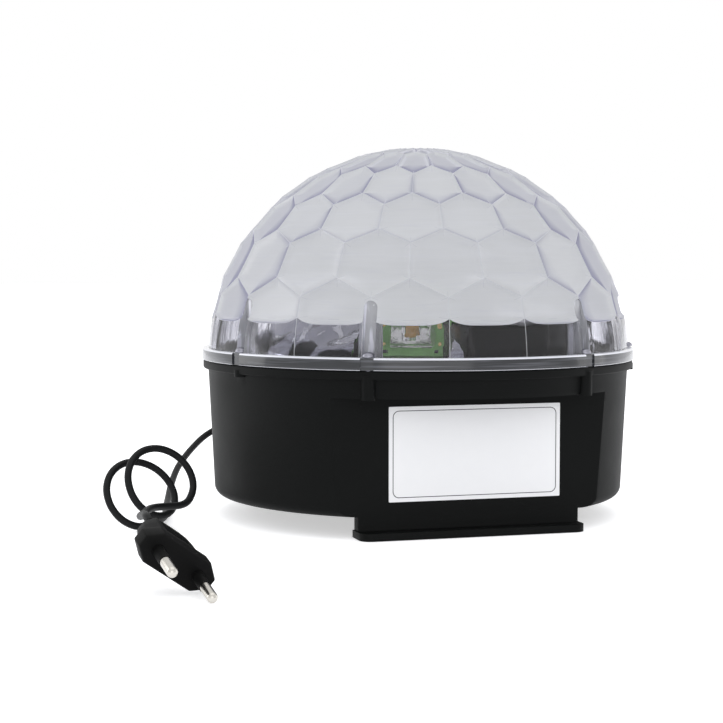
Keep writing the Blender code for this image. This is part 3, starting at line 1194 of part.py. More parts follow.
def make_plug(under_exit):
    """The two-pin plug lying rolled on its edge. Returns its tail's end and the way out of it."""
    small = PLUG_CORNER / 2
    sections = ((PLUG_FACE_HALF_W - PLUG_EDGE, PLUG_FACE_HALF_T - PLUG_EDGE, PLUG_CORNER),
                (PLUG_FACE_HALF_W, PLUG_FACE_HALF_T, PLUG_CORNER),
                (PLUG_FACE_HALF_W, PLUG_FACE_HALF_T, PLUG_CORNER),
                (PLUG_SHOULDER_HALF_W, PLUG_SHOULDER_HALF_T, PLUG_CORNER),
                (PLUG_GRIP_HALF_W, PLUG_GRIP_HALF_T, small),
                (PLUG_NECK_R, PLUG_NECK_R, small), (PLUG_TAIL_R, PLUG_TAIL_R, PLUG_TAIL_R / 2))
    rings = [plug_ring(w, t, c, PLUG_LENGTH * share)
             for (w, t, c), share in zip(sections, PLUG_STATION_SHARES)]
    turn, dip = math.radians(PLUG_TURN_DEG), math.radians(PLUG_DIP_DEG)
    pins_way = laid(math.sin(turn) * math.cos(dip), -math.cos(turn) * math.cos(dip), -math.sin(dip))
    level = Vector((0, 0, 1)).cross(pins_way).normalized()
    roll = math.radians(PLUG_ROLL_DEG)
    across = level * math.cos(roll) - pins_way.cross(level) * math.sin(roll)
    thick = pins_way.cross(across)
    shoulder = SLEEVE_L + PIN_GAP
    tip = shoulder + PIN_TIP_L
    heights = [x * across.z + y * thick.z + z * pins_way.z for ring in rings for x, y, z in ring]
    heights += [x * across.z + (tip - PIN_R) * pins_way.z - PIN_R
                for x in (-PIN_PITCH / 2, PIN_PITCH / 2)]
    lowest = min(heights)
    frame = Matrix((across, thick, pins_way)).transposed().to_4x4()
    place = Matrix.Translation(under_exit + laid(*PLUG_AT, PLUG_FLOOR_GAP - lowest)) @ frame

    bm = bmesh.new()
    add_loft(bm, rings)
    plug = mesh_object("plug_body", bm, "black_plastic")
    sleeves = bmesh.new()
    bores = bmesh.new()
    for x in (-PIN_PITCH / 2, PIN_PITCH / 2):
        add_rod(sleeves, SLEEVE_R, -SLEEVE_R, SLEEVE_L, PIN_SIDES, (x, 0))
        add_rod(bores, PIN_CORE_R + PIN_GAP, -PIN_SINK, SLEEVE_L + OVERRUN, PIN_SIDES, (x, 0))
    for tool, operation in ((mesh_object("pin_sleeves", sleeves), "UNION"),
                            (mesh_object("pin_bores", bores), "DIFFERENCE")):
        tool.parent = plug
        boolean(plug, tool, operation)
    plug.matrix_world = place

    profile = arc((0, tip - PIN_R), PIN_R, 90, 0, FILLET_STEPS)
    profile[0] = (0, tip)
    profile += [(PIN_R, shoulder), (PIN_CORE_R, shoulder), (PIN_CORE_R, PIN_GAP - PIN_SINK),
                (0, PIN_GAP - PIN_SINK)]
    for number, x in enumerate((-PIN_PITCH / 2, PIN_PITCH / 2), 1):
        pin = turned("plug_pin_%d" % number, profile, PIN_SIDES, "chrome")
        pin.matrix_world = place @ Matrix.Translation((x, 0, 0))
    tail = place @ Vector((0, 0, -PLUG_LENGTH - SEAT_GAP))
    return tail, -pins_way


def cord_loops():
    """The two loose loops, whose centre drifts from one place to the other."""
    yaw, lean = math.radians(LOOP_YAW_DEG), math.radians(LOOP_LEAN_DEG)
    along = Vector((math.cos(yaw), -math.sin(yaw), 0))
    rise = Vector((math.sin(yaw) * math.sin(lean), math.cos(yaw) * math.sin(lean), math.cos(lean)))
    count = LOOP_TURNS * LOOP_POINTS
    points = []
    for i in range(count + 1):
        share = i / count
        turn = math.radians(LOOP_START_DEG) - 2 * math.pi * LOOP_TURNS * share
        centre = Vector(LOOP_FIRST).lerp(Vector(LOOP_LAST), share ** 2 * (3 - 2 * share))
        points.append(centre + (along * math.cos(turn) + rise * math.sin(turn)) * LOOP_R)
    return points


def least_gap(line, radius):
    """Smallest clear gap between stretches of the cord that aren't neighbours."""
    reach = NEIGHBOUR_POINTS * CORD_STEP
    points = even_points(line, radius)
    skip = math.ceil(reach / radius)
    return min((a - b).length for i, a in enumerate(points) for b in points[i + skip:]) - 2 * radius


def make_cord():
    """The cord on the floor between its relief and its plug, as one unbroken tube."""
    tip, out = make_gland()
    start = tip + out * SEAT_GAP
    under_exit = Vector((start.x, start.y, 0))
    tail, back = make_plug(under_exit)
    route = [start, start + out * CORD_LEAD]
    route += [under_exit + laid(*point) for point in (*CORD_OUT, *cord_loops(), *CORD_IN)]
    route += [tail + back * CORD_LEAD, tail]
    points = even_points(smooth_curve(route, CORD_CURVE_STEPS), CORD_STEP)
    curve = bpy.data.curves.new("power_cord", "CURVE")
    curve.dimensions = "3D"
    curve.bevel_depth = CORD_R
    curve.bevel_resolution = 2
    curve.use_fill_caps = True
    spline = curve.splines.new("POLY")
    spline.points.add(len(points) - 1)
    for spot, point in zip(spline.points, points):
        spot.co = (*point, 1)
    add_object("power_cord", curve, "black_rubber")
    length = sum((b - a).length for a, b in zip(points, points[1:]))
    print("cord: %d points, %.3f m, least gap to itself %.4f m"
          % (len(points), length, least_gap(points, CORD_R)))


make_base()
make_dome()
make_label()
make_deck()
make_carrier()
make_heads()
make_tray()
make_cover()
make_motor()
make_rotor()
make_power_board()
make_microphone()
make_switch()
make_cord()
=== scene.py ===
"""Dresses the LED disco ball lamp: camera, stage, cord, materials and the detailed pieces.

Metres, +Z up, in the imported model's own frame. The flat label side faces -Y.
An angle "around" the lamp is counted from the label side towards +X.
"""
import json
from math import asin, cos, degrees, pi, radians, sin

import bmesh
import bpy
from mathutils import Matrix, Vector

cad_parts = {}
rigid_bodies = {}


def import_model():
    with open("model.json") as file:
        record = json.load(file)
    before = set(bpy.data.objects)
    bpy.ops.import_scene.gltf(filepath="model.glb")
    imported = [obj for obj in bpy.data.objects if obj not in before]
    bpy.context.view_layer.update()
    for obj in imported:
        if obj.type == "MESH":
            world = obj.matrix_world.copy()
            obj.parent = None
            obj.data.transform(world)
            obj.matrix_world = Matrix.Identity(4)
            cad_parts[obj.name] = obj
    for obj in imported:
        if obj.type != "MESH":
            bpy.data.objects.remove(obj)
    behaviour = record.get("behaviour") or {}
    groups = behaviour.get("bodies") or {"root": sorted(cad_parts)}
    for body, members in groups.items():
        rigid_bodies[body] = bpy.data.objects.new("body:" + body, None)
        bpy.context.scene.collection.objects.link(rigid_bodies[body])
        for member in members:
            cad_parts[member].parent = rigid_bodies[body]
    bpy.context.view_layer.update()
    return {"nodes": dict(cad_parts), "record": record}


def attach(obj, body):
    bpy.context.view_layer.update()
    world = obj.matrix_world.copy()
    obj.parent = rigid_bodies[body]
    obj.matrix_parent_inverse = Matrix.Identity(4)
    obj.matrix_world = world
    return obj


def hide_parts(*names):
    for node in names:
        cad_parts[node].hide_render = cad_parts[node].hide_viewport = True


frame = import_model()
NODES = frame["nodes"]

# Sizes that the dressed pieces share with the solids
PARTING_Z = 0.072
SEAT_GAP = 0.0003
OVERRUN = 0.004
BAND_R, BOTTOM_R, BOTTOM_Z, BOTTOM_FILLET = 0.0972, 0.0945, 0.0093, 0.0045
BASE_FLANGE_R, BASE_FLANGE_T, BASE_WALL = 0.0995, 0.0037, 0.0025
BASE_TOP = PARTING_Z - SEAT_GAP
BASE_FLANGE_LOW = BASE_TOP - BASE_FLANGE_T
FLOOR_Z = BOTTOM_Z + BASE_WALL
FLAT_Y, LEDGE_Z = 0.074, 0.060
SCREW_CIRCLE_R = 0.097
SCREW_ANGLES_DEG = (-150, -70, -30, 30, 70, 150)
BOSS_R, BOSS_LOW_Z, SIDE_BOSS_LOW_Z, BOSS_SINK = 0.0031, 0.0595, 0.0668, 0.0018
NOTCH_HALF_W, NOTCH_IN_R, NOTCH_TOP_Z, NOTCH_WALL = 0.0029, 0.0922, 0.1008, 0.0018
FOOT_HALF_W, FOOT_DEPTH, FOOT_SINK = 0.050, 0.006, 0.0015
LIP_T, LIP_FRONT, LIP_SIDE, LIP_CORNER_R = 0.0032, 0.0086, 0.0008, 0.0050
DOME_R, DOME_WALL = 0.098, 0.0032
DOME_FLANGE_R, DOME_FLANGE_T = 0.100, 0.0053
FACETS_ROUND = 18
ROW_ELEVATIONS_DEG = (18.1, 33.0, 45.6, 59.0, 73.0, 81.5)
RISE_SHARE = 0.993
SIDE_RISE_SHARE = 0.333
BAND_TOP_MID, BAND_TOP_EDGE = 0.0188, 0.0215
DECK_TOP = 0.0717
ON_DECK = DECK_TOP + SEAT_GAP
SCREW_HOLE_R = 0.00165
DECK_SCREW_CIRCLE_R, DECK_SCREW_ANGLES_DEG = 0.0885, (45, 135, 225, 315)
PHOTO_TURN_DEG, SHARP_DEG = -18, 35
UP = Vector((0, 0, 1))


# Small helpers

def around(angle_deg, radius=1, height=0):
    """The point at an angle about the lamp's axis."""
    angle = radians(angle_deg)
    return Vector((radius * sin(angle), -radius * cos(angle), height))


def laid(right, back, height):
    """A point in axes turned to the photograph: right, back and up."""
    return Matrix.Rotation(radians(PHOTO_TURN_DEG), 3, "Z") @ Vector((right, back, height))


def new_object(name, data, material=None):
    obj = bpy.data.objects.new(name, data)
    bpy.context.scene.collection.objects.link(obj)
    if material:
        data.materials.append(material)
    return obj


def smooth(mesh):
    """Shade smooth, apart from edges sharper than a set angle."""
    mesh.shade_smooth()
    mesh.set_sharp_from_angle(angle=radians(SHARP_DEG))


def mesh_object(name, bm, material=None):
    """Turn a bmesh into an object with outward faces, round surfaces smooth."""
    bmesh.ops.recalc_face_normals(bm, faces=bm.faces)
    mesh = bpy.data.meshes.new(name)
    bm.to_mesh(mesh)
    bm.free()
    smooth(mesh)
    return new_object(name, mesh, material)


def boolean(target, tool, operation="DIFFERENCE"):
    step = target.modifiers.new(tool.name, "BOOLEAN")
    step.operation = operation
    step.object = tool
    step.solver = "EXACT"
    step.material_mode = "TRANSFER"
    tool["is_tool"] = True


def bevel(obj, width, angle_deg=35, segments=3, material=-1):
    step = obj.modifiers.new("rounded", "BEVEL")
    step.width = width
    step.segments = segments
    step.limit_method = "ANGLE"
    step.angle_limit = radians(angle_deg)
    step.material = material
    step.use_clamp_overlap = True


def bake(obj):
    """Apply the modifiers."""
    bpy.context.view_layer.update()
    graph = bpy.context.evaluated_depsgraph_get()
    made = bpy.data.meshes.new_from_object(obj.evaluated_get(graph), depsgraph=graph)
    obj.modifiers.clear()
    obj.data = made
    smooth(made)


def drop_tools():
    """Take out the solids that only cut or joined others."""
    for obj in list(bpy.data.objects):
        if obj.get("is_tool"):
            bpy.data.objects.remove(obj, do_unlink=True)


def put(obj, node, place=None, body="housing"):
    """Ride the piece on a body, instead of a CAD node where one is named."""
    if place is not None:
        obj.matrix_world = place
    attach(obj, body)
    if node:
        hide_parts(node)


def add_block(bm, low, high):
    size = [b - a for a, b in zip(low, high)]
    middle = [(a + b) / 2 for a, b in zip(low, high)]
    place = Matrix.Translation(middle) @ Matrix.Diagonal((*size, 1))
    bmesh.ops.create_cube(bm, size=1, matrix=place)


def add_cylinder(bm, radius, length, sides, place):
    bmesh.ops.create_cone(bm, cap_ends=True, segments=sides, radius1=radius, radius2=radius,
                          depth=length, matrix=place)


def add_rods(bm, radius, low, high, sides, spots):
    """Upright rods, one at each spot."""
    for x, y, *_ in spots:
        add_cylinder(bm, radius, high - low, sides, Matrix.Translation((x, y, (low + high) / 2)))


def add_rod_out(bm, radius, near, far, sides, angle_deg, height):
    """A level rod that points away from the lamp's axis."""
    start, end = [around(angle_deg, reach, height) for reach in (near, far)]
    turn = (end - start).to_track_quat("Z", "Y").to_matrix().to_4x4()
    place = Matrix.Translation((start + end) / 2) @ turn
    add_cylinder(bm, radius, (end - start).length, sides, place)


def pairs(row):
    """Each point of a closed row with the next."""
    return zip(row, row[1:] + row[:1])


def stitch(bm, low, high):
    """Faces between two closed rows of as many points."""
    return [bm.faces.new((a, b, c, d)) for (a, b), (d, c) in zip(pairs(low), pairs(high))]


def add_loft(bm, rings, caps=True):
    """A skin over rings of points, closed at both ends unless without caps."""
    loops = [[bm.verts.new(point) for point in ring] for ring in rings]
    for low, high in zip(loops, loops[1:]):
        stitch(bm, low, high)
    if caps:
        bm.faces.new(loops[0][::-1])
        bm.faces.new(loops[-1])


def add_radial_block(bm, angle_deg, near, far, half_w, low, high):
    out = around(angle_deg)
    side = UP.cross(out) * half_w
    corners = [out * near - side, out * far - side, out * far + side, out * near + side]
    add_loft(bm, [[p + UP * z for p in corners] for z in (low, high)])


def shape(name, material, add, *rows):
    """A mesh object of one kind of form, added once for each row of values."""
    bm = bmesh.new()
    for values in rows:
        add(bm, *values)
    return mesh_object(name, bm, material)


def shape_round(name, material, angles_deg, add, *values):
    """The same form at several angles."""
    return shape(name, material, add, *[(angle, *values) for angle in angles_deg])


def loft(name, rings, material=None, caps=True):
    return shape(name, material, add_loft, (rings, caps))


def turned(name, profile, steps, material=None):
    """A profile of (radius, height), from the axis to the axis, turned about Z."""
    bm = bmesh.new()
    rows = []
    for radius, height in profile:
        turns = [2 * pi * i / steps for i in range(steps if radius else 1)]
        row = [bm.verts.new((radius * cos(a), radius * sin(a), height)) for a in turns]
        rows.append(row if radius else row * steps)
    for low, high in zip(rows, rows[1:]):
        for (a, b), (d, c) in zip(pairs(low), pairs(high)):
            corners = list(dict.fromkeys((a, b, c, d)))
            if len(corners) > 2:
                bm.faces.new(corners)
    return mesh_object(name, bm, material)


def arc(centre, radius, start_deg, end_deg, steps):
    """Points along part of a circle in a plane."""
    return [(centre[0] + radius * cos(a), centre[1] + radius * sin(a))
            for a in (radians(start_deg + (end_deg - start_deg) * i / steps)
                      for i in range(steps + 1))]


# Materials

def add_node(tree, kind, inputs=None, **settings):
    """Add a shader node. An input is a plain value, or the output that feeds it."""
    made = tree.nodes.new("ShaderNode" + kind)
    for name, value in settings.items():
        setattr(made, name, value)
    for socket, value in (inputs or {}).items():
        if isinstance(value, bpy.types.NodeSocket):
            tree.links.new(value, made.inputs[socket])
        else:
            made.inputs[socket].default_value = value
    return made


def worked_out(tree, operation, *values):
    """A sum on numbers."""
    return add_node(tree, "Math", dict(enumerate(values)), operation=operation).outputs[0]


def worked_out_points(tree, operation, *values):
    """A sum on points, whose result is a point or a distance."""
    made = add_node(tree, "VectorMath", dict(enumerate(values)), operation=operation)
    return made.outputs["Value" if operation == "DISTANCE" else "Vector"]


def between(tree, value, start, end, top=1.0):
    """0 at one value and `top` at another, even in between and held beyond them."""
    return add_node(tree, "MapRange", {"Value": value, "From Min": start, "From Max": end,
                                       "To Max": top}).outputs["Result"]


def place_on(tree, stretch=None):
    """The point on the object, its axes stretched if need be."""
    place = add_node(tree, "TexCoord").outputs["Object"]
    if stretch:
        place = add_node(tree, "Mapping", {"Vector": place, "Scale": stretch}).outputs["Vector"]
    return place


def noise(tree, scale, detail=2, distortion=0.0, stretch=None):
    """A node of soft noise over the object."""
    return add_node(tree, "TexNoise", {"Vector": place_on(tree, stretch), "Scale": scale,
                                       "Detail": detail, "Distortion": distortion})


def facing(tree, normal=None):
    """0 where seen straight on and 1 where seen edge on."""
    inputs = {"Blend": 0.5, "Normal": normal} if normal else {"Blend": 0.5}
    return add_node(tree, "LayerWeight", inputs).outputs["Facing"]


def new_material(name, **sockets):
    made = bpy.data.materials.new(name)
    made.use_nodes = True
    for socket, value in sockets.items():
        shader_of(made).inputs[socket.replace("_", " ")].default_value = value
    return made


def shader_of(material):
    return next(n for n in material.node_tree.nodes if n.type == "BSDF_PRINCIPLED")


def mix_into_colour(material, share, colour):
    """Mix another colour into the base colour by a share from another node."""
    tree = material.node_tree
    socket = shader_of(material).inputs["Base Color"]
    mix = add_node(tree, "Mix", {0: share, 6: socket.links[0].from_socket, 7: (*colour, 1)},
                   data_type="RGBA")
    tree.links.new(mix.outputs[2], socket)
    return material


def mix_into_surface(material, share, shader):
    """Mix another shader into all that the material shows so far."""
    tree = material.node_tree
    shown = next(n for n in tree.nodes if n.type == "OUTPUT_MATERIAL").inputs["Surface"]
    mix = add_node(tree, "MixShader", {0: share, 1: shown.links[0].from_socket,
                                       2: shader.outputs[0]})
    tree.links.new(mix.outputs[0], shown)
    return material


GRAIN_SCALE, FINE_SCALE, FINE_RELIEF, COARSE_RELIEF = 1500, 400, 0.0002, 0.001


def surface(name, colour, roughness, shade=0.12, patch=60.0, rough=0.06, grain=0.0,
            waves=0.0, wave_scale=90.0, stretch=None, **sockets):
    """A Principled material whose colour, roughness and relief vary over the surface."""
    made = new_material(name, **sockets)
    tree, shader = made.node_tree, shader_of(made)
    cloud = noise(tree, patch, 6).outputs["Fac"]
    dark, light = [[min(1, c * share) for c in colour] for share in (1 - shade, 1 + shade)]
    tint = add_node(tree, "Mix", {0: cloud, 6: (*dark, 1), 7: (*light, 1)}, data_type="RGBA")
    tree.links.new(tint.outputs[2], shader.inputs["Base Color"])
    worn = add_node(tree, "MapRange", {"Value": cloud, "To Min": max(0.0, roughness - rough),
                                       "To Max": min(1.0, roughness + rough)})
    tree.links.new(worn.outputs["Result"], shader.inputs["Roughness"])
    for strength, scale, axes in ((grain, GRAIN_SCALE, None), (waves, wave_scale, stretch)):
        if strength:
            depth = FINE_RELIEF if scale > FINE_SCALE else COARSE_RELIEF
            relief = add_node(tree, "Bump", {"Strength": strength, "Distance": depth, "Height":
                                             noise(tree, scale, 3, stretch=axes).outputs["Fac"]})
            normal = shader.inputs["Normal"]
            if normal.links:
                tree.links.new(normal.links[0].from_socket, relief.inputs["Normal"])
            tree.links.new(relief.outputs["Normal"], normal)
    return made


def painted_slant_light(material, colour, low, high, top=1.0):
    """Painted light where the surface is seen at a slant: a darker colour paints shade, a lighter
    one paints sheen.
    """
    tree = material.node_tree
    return mix_into_colour(material, between(tree, facing(tree), low, high, top), colour)


SLANT_ROOM, SLANT_POWER = 1.03, 1.8
CRESCENTS_FROM, CRESCENTS_FULL, STREAKS_FROM, STREAKS_FULL = 0.16, 0.48, 0.15, 0.40


def painted_crescent_shade(material, colour, low, high, top=1.0):
    """Painted shade: dark arcs where a facet's rim is seen more at a slant than the dome is there.
    """
    tree = material.node_tree
    from_middle = worked_out_points(tree, "SUBTRACT", place_on(tree), (0, 0, PARTING_Z))
    dome_slant = facing(tree, worked_out_points(tree, "NORMALIZE", from_middle))
    more = worked_out(tree, "SUBTRACT", facing(tree), dome_slant)
    room = worked_out(tree, "SUBTRACT", SLANT_ROOM, dome_slant)
    room = worked_out(tree, "POWER", room, SLANT_POWER)
    share = between(tree, worked_out(tree, "DIVIDE", more, room), low, high, top)
    at_sides = worked_out(tree, "MULTIPLY", share,
                          between(tree, dome_slant, CRESCENTS_FROM, CRESCENTS_FULL))
    dark = add_node(tree, "BsdfDiffuse", {"Color": (*colour, 1)})
    return mix_into_surface(material, at_sides, dark)


def patches(material, colour, scale, low, high, stretch=None, distortion=0.0, top=1.0,
            slanted=False):
    """Soft-edged patches or streaks of another colour, only at a slant if need be, where they are
    painted shade.
    """
    tree = material.node_tree
    share = between(tree, noise(tree, scale, 3, distortion, stretch).outputs["Fac"], low, high, top)
    if slanted:
        share = worked_out(tree, "MULTIPLY", share,
                           between(tree, facing(tree), STREAKS_FROM, STREAKS_FULL))
    return mix_into_colour(material, share, colour)


RIM_WAVE_SCALE, RIM_WAVE = 90, 0.012


def painted_dark_spot(material, colour, middle, inner, outer):
    """A round painted dark patch about a point, its rim wavy."""
    tree = material.node_tree
    shifted = worked_out_points(tree, "MULTIPLY_ADD", noise(tree, RIM_WAVE_SCALE).outputs["Color"],
                                [RIM_WAVE] * 3, place_on(tree))
    away = worked_out_points(tree, "DISTANCE", shifted, middle + Vector([RIM_WAVE / 2] * 3))
    return mix_into_colour(material, between(tree, away, outer, inner), colour)


def let_light_in(material, colour=(1, 1, 1)):
    """A clear material that lets lamp light through to what it covers."""
    tree = material.node_tree
    clear = add_node(tree, "BsdfTransparent", {"Color": (*colour, 1)})
    return mix_into_surface(material, add_node(tree, "LightPath").outputs["Is Shadow Ray"], clear)


def milky(material, share, colour):
    """Mix in light that comes through from behind."""
    glow = add_node(material.node_tree, "BsdfTranslucent", {"Color": (*colour, 1)})
    return mix_into_surface(material, share, glow)


BLACK = surface("black_plastic", (0.0042, 0.0047, 0.0046), 0.50, grain=0.25, shade=0.18,
                Specular_IOR_Level=0.07)
GLOSS_BLACK = surface("gloss_black", (0.003, 0.003, 0.004), 0.12, waves=0.10,
                      Specular_IOR_Level=0.06)
CLEAR = let_light_in(surface("clear_plastic", (0.95, 0.95, 0.985), 0.012, rough=0.010, shade=0.02,
                             waves=0.30, wave_scale=1, stretch=(170, 170, 14),
                             Transmission_Weight=1.0, IOR=1.30, Specular_IOR_Level=0.12))
# Painted shade: dark vertical streaks on the clear band, seen only at a slant.
patches(CLEAR, (0.13, 0.13, 0.16), 1.0, 0.48, 0.54, (75, 75, 9), 0.6, 0.8, slanted=True)
# Painted shade: the clear band darkens where it is seen at a slant.
painted_slant_light(CLEAR, (0.20, 0.20, 0.25), 0.25, 0.84)
# Painted shade: two dark patches on the clear band.
for spot, reach in ((laid(-0.0661, -0.072, 0.0835), 0.0065), (laid(0.0853, -0.048, 0.083), 0.0060)):
    painted_dark_spot(CLEAR, (0.07, 0.07, 0.085), spot, reach * 0.6, reach)
FROSTED = surface("frosted_plastic", (0.695, 0.705, 0.722), 0.24, shade=0.03, patch=26,
                  waves=0.10, wave_scale=45, Transmission_Weight=0.10, IOR=1.42,
                  Specular_IOR_Level=0.35, Coat_Weight=0.25, Coat_Roughness=0.10)
patches(FROSTED, (0.78, 0.79, 0.83), 1.0, 0.45, 0.75, (28, 28, 480), 0.8, 0.35)
patches(FROSTED, (0.56, 0.57, 0.66), 1.0, 0.56, 0.80, (60, 60, 620), 0.8, 0.3)
# Painted shade: a darker lavender where the dome is seen at a slant, towards its outline.
painted_slant_light(FROSTED, (0.40, 0.405, 0.53), 0.46, 0.88, top=0.7)
milky(FROSTED, 0.28, (0.84, 0.84, 0.88))
# Painted shade in dark arcs at the facets' rims on the dome's sides.
painted_crescent_shade(FROSTED, (0.20, 0.20, 0.30), 0.15, 0.62, top=0.64)
RIDGE = surface("ridge_plastic", (0.66, 0.67, 0.70), 0.22, shade=0.06, patch=80,
                Transmission_Weight=0.15, IOR=1.45, Coat_Weight=0.25, Coat_Roughness=0.10)
# Painted highlight: the ridges turn near-white where seen at a slant.
painted_slant_light(RIDGE, (0.86, 0.86, 0.95), 0.40, 0.80)
milky(RIDGE, 0.20, (0.80, 0.80, 0.90))
NOTCH = surface("notch_plastic", (0.46, 0.465, 0.49), 0.24, rough=0.10, shade=0.10, patch=300,
                waves=0.35, wave_scale=1, stretch=(600, 600, 90), Transmission_Weight=0.30,
                IOR=1.40, Coat_Weight=0.4, Coat_Roughness=0.08)
patches(NOTCH, (0.90, 0.90, 1.0), 1.0, 0.52, 0.60, stretch=(420, 420, 50), top=0.8)
let_light_in(NOTCH, (0.7, 0.7, 0.75))
SMOKY = surface("smoky_plastic", (0.022, 0.024, 0.028), 0.16, shade=0.25, patch=60, waves=0.12,
                wave_scale=120, Specular_IOR_Level=0.40, Coat_Weight=0.3, Coat_Roughness=0.05)
patches(SMOKY, (0.16, 0.165, 0.19), 1.0, 0.50, 0.72, stretch=(30, 30, 900), top=0.5)
# Painted sheen: the smoky flange turns lighter where seen at a slant.
painted_slant_light(SMOKY, (0.17, 0.175, 0.20), 0.45, 0.88)
# Painted highlight: a pale plastic for the flange's level faces, for the bright line along its top.
LIT_EDGE = surface("lit_edge_plastic", (0.72, 0.73, 0.79), 0.16, shade=0.10, patch=90,
                   waves=0.1, wave_scale=200, Coat_Weight=0.6, Coat_Roughness=0.05)
MIRROR = surface("metallised_tray", (0.50, 0.50, 0.57), 0.09, Metallic=1.0, shade=0.05, rough=0.04,
                 waves=0.35, wave_scale=55)
# Painted reflections: dark patches on the tray where it would mirror dark parts.
for spot, reach in ((laid(-0.064, -0.030, 0.081), 0.0150), (laid(-0.050, -0.060, 0.0780), 0.0075),
                    (laid(-0.073, -0.020, 0.0785), 0.0050), (laid(-0.022, -0.0815, 0.0735), 0.0130),
                    (laid(-0.036, -0.0745, 0.0735), 0.0100), (laid(0.066, -0.040, 0.0800), 0.0150)):
    painted_dark_spot(MIRROR, (0.014, 0.014, 0.02), spot, reach * 0.85, reach)
# Painted highlight: thin near-white glints on the tray.
patches(MIRROR, (0.95, 0.95, 1.0), 46.0, 0.640, 0.660, distortion=1.6)
PAPER = surface("label_film", (0.93, 0.93, 0.94), 0.45, shade=0.012, patch=200, grain=0.04,
                Specular_IOR_Level=0.3, Coat_Weight=0.1, Coat_Roughness=0.3)
INK = surface("label_ink", (0.030, 0.030, 0.034), 0.5, shade=0.10)
GREEN = surface("green_board", (0.21, 0.50, 0.13), 0.30, shade=0.30, patch=220, waves=0.2,
                wave_scale=350, Coat_Weight=0.3, Coat_Roughness=0.12)
GOLD = surface("gold_pads", (0.75, 0.55, 0.24), 0.28, Metallic=1.0, shade=0.10, patch=300)
AMBER = surface("amber_emitter", (0.95, 0.50, 0.07), 0.18, shade=0.10, patch=300, Coat_Weight=1.0,
                Coat_Roughness=0.03)
ZINC = surface("zinc_screw", (0.27, 0.27, 0.31), 0.30, Metallic=1.0, shade=0.15, patch=500,
               grain=0.15)
STEEL = surface("turned_steel", (0.60, 0.60, 0.62), 0.28, Metallic=1.0, shade=0.12, patch=300,
                grain=0.10)
CHROME = surface("plug_nickel", (0.56, 0.54, 0.50), 0.24, Metallic=1.0, shade=0.12, patch=400,
                 grain=0.06)
ALUMINIUM = surface("satin_aluminium", (0.68, 0.69, 0.71), 0.34, Metallic=1.0, shade=0.10,
                    patch=200, grain=0.15)
WHITE = surface("white_plastic", (0.74, 0.74, 0.72), 0.38, shade=0.04, patch=120, grain=0.05)
YELLOW = surface("tape_wrap", (0.80, 0.58, 0.06), 0.35, shade=0.10, patch=160, waves=0.2,
                 wave_scale=500)
BLUE = surface("blue_terminal", (0.05, 0.19, 0.52), 0.35, shade=0.08, patch=160, grain=0.05)
RUBBER = surface("cord_rubber", (0.0100, 0.0105, 0.0110), 0.50, shade=0.15, patch=250, grain=0.12,
                 Specular_IOR_Level=0.12)
PLUG_BLACK = surface("plug_plastic", (0.0060, 0.0060, 0.0060), 0.50, shade=0.15, patch=300,
                     grain=0.20, Specular_IOR_Level=0.05)
GLASS_HEAD = let_light_in(surface("head_lens", (0.98, 0.98, 0.96), 0.03, rough=0.02, shade=0.01,
                                  waves=0.45, wave_scale=260, Transmission_Weight=1.0, IOR=1.45))

SLOT_MATERIALS = {
    "black_plastic": BLACK, "gloss_black": GLOSS_BLACK, "clear_plastic": GLASS_HEAD,
    "mirror_plastic": MIRROR, "white_paper": PAPER, "green_board": GREEN, "amber_emitter": AMBER,
    "zinc": ZINC, "steel": STEEL, "chrome": CHROME, "aluminium": ALUMINIUM,
    "white_plastic": WHITE, "yellow_tape": YELLOW, "blue_terminal": BLUE, "black_rubber": RUBBER,
}


def dress_nodes():
    """Give each CAD node the material of its slot."""
    for part in frame["record"]["subparts"]:
        obj = NODES[part["node"]]
        obj.data.materials.clear()
        obj.data.materials.append(SLOT_MATERIALS[part["material_slot"]])


# Camera, stage and light

def make_camera():
    camera = bpy.data.cameras.new("camera")
    camera.sensor_width, camera.lens = 36.0, 88.2
    camera.clip_start, camera.clip_end = 0.05, 50.0
    obj = new_object("camera", camera)
    obj.location = (-0.2556, -0.7865, 0.1207)
    obj.rotation_euler = (radians(90 - 3.515), 0, radians(-16.204))
    bpy.context.scene.camera = obj


def white_for_view(tree):
    """1 where a surface is seen directly, in a mirror or through glass."""
    rays = add_node(tree, "LightPath").outputs
    direct = worked_out(tree, "MAXIMUM", rays["Is Camera Ray"], rays["Is Glossy Ray"])
    return worked_out(tree, "MAXIMUM", direct, rays["Is Transmission Ray"])


def make_world():
    world = bpy.data.worlds.new("studio")
    bpy.context.scene.world = world
    world.use_nodes = True
    tree = world.node_tree
    tree.nodes.clear()
    room = add_node(tree, "Background", {"Color": (0.97, 0.98, 1.0, 1), "Strength": 0.95})
    seen = add_node(tree, "Background", {"Color": (1, 1, 1, 1), "Strength": 1.0})
    mix = add_node(tree, "MixShader", {0: white_for_view(tree), 1: room.outputs[0],
                                       2: seen.outputs[0]})
    add_node(tree, "OutputWorld", {"Surface": mix.outputs[0]})


def make_floor():
    bm = bmesh.new()
    bmesh.ops.create_grid(bm, x_segments=1, y_segments=1, size=6.0)
    floor = mesh_object("floor", bm)
    floor.location.z = -0.0002
    made = new_material("pale_floor", Base_Color=(0.86, 0.86, 0.87, 1), Roughness=0.8,
                        Specular_IOR_Level=0.1)
    tree = made.node_tree
    glow = add_node(tree, "Emission", {"Strength": 0.52})
    bright = add_node(tree, "AddShader", {0: shader_of(made).outputs[0], 1: glow.outputs[0]})
    mix_into_surface(made, white_for_view(tree), bright)
    floor.data.materials.append(made)


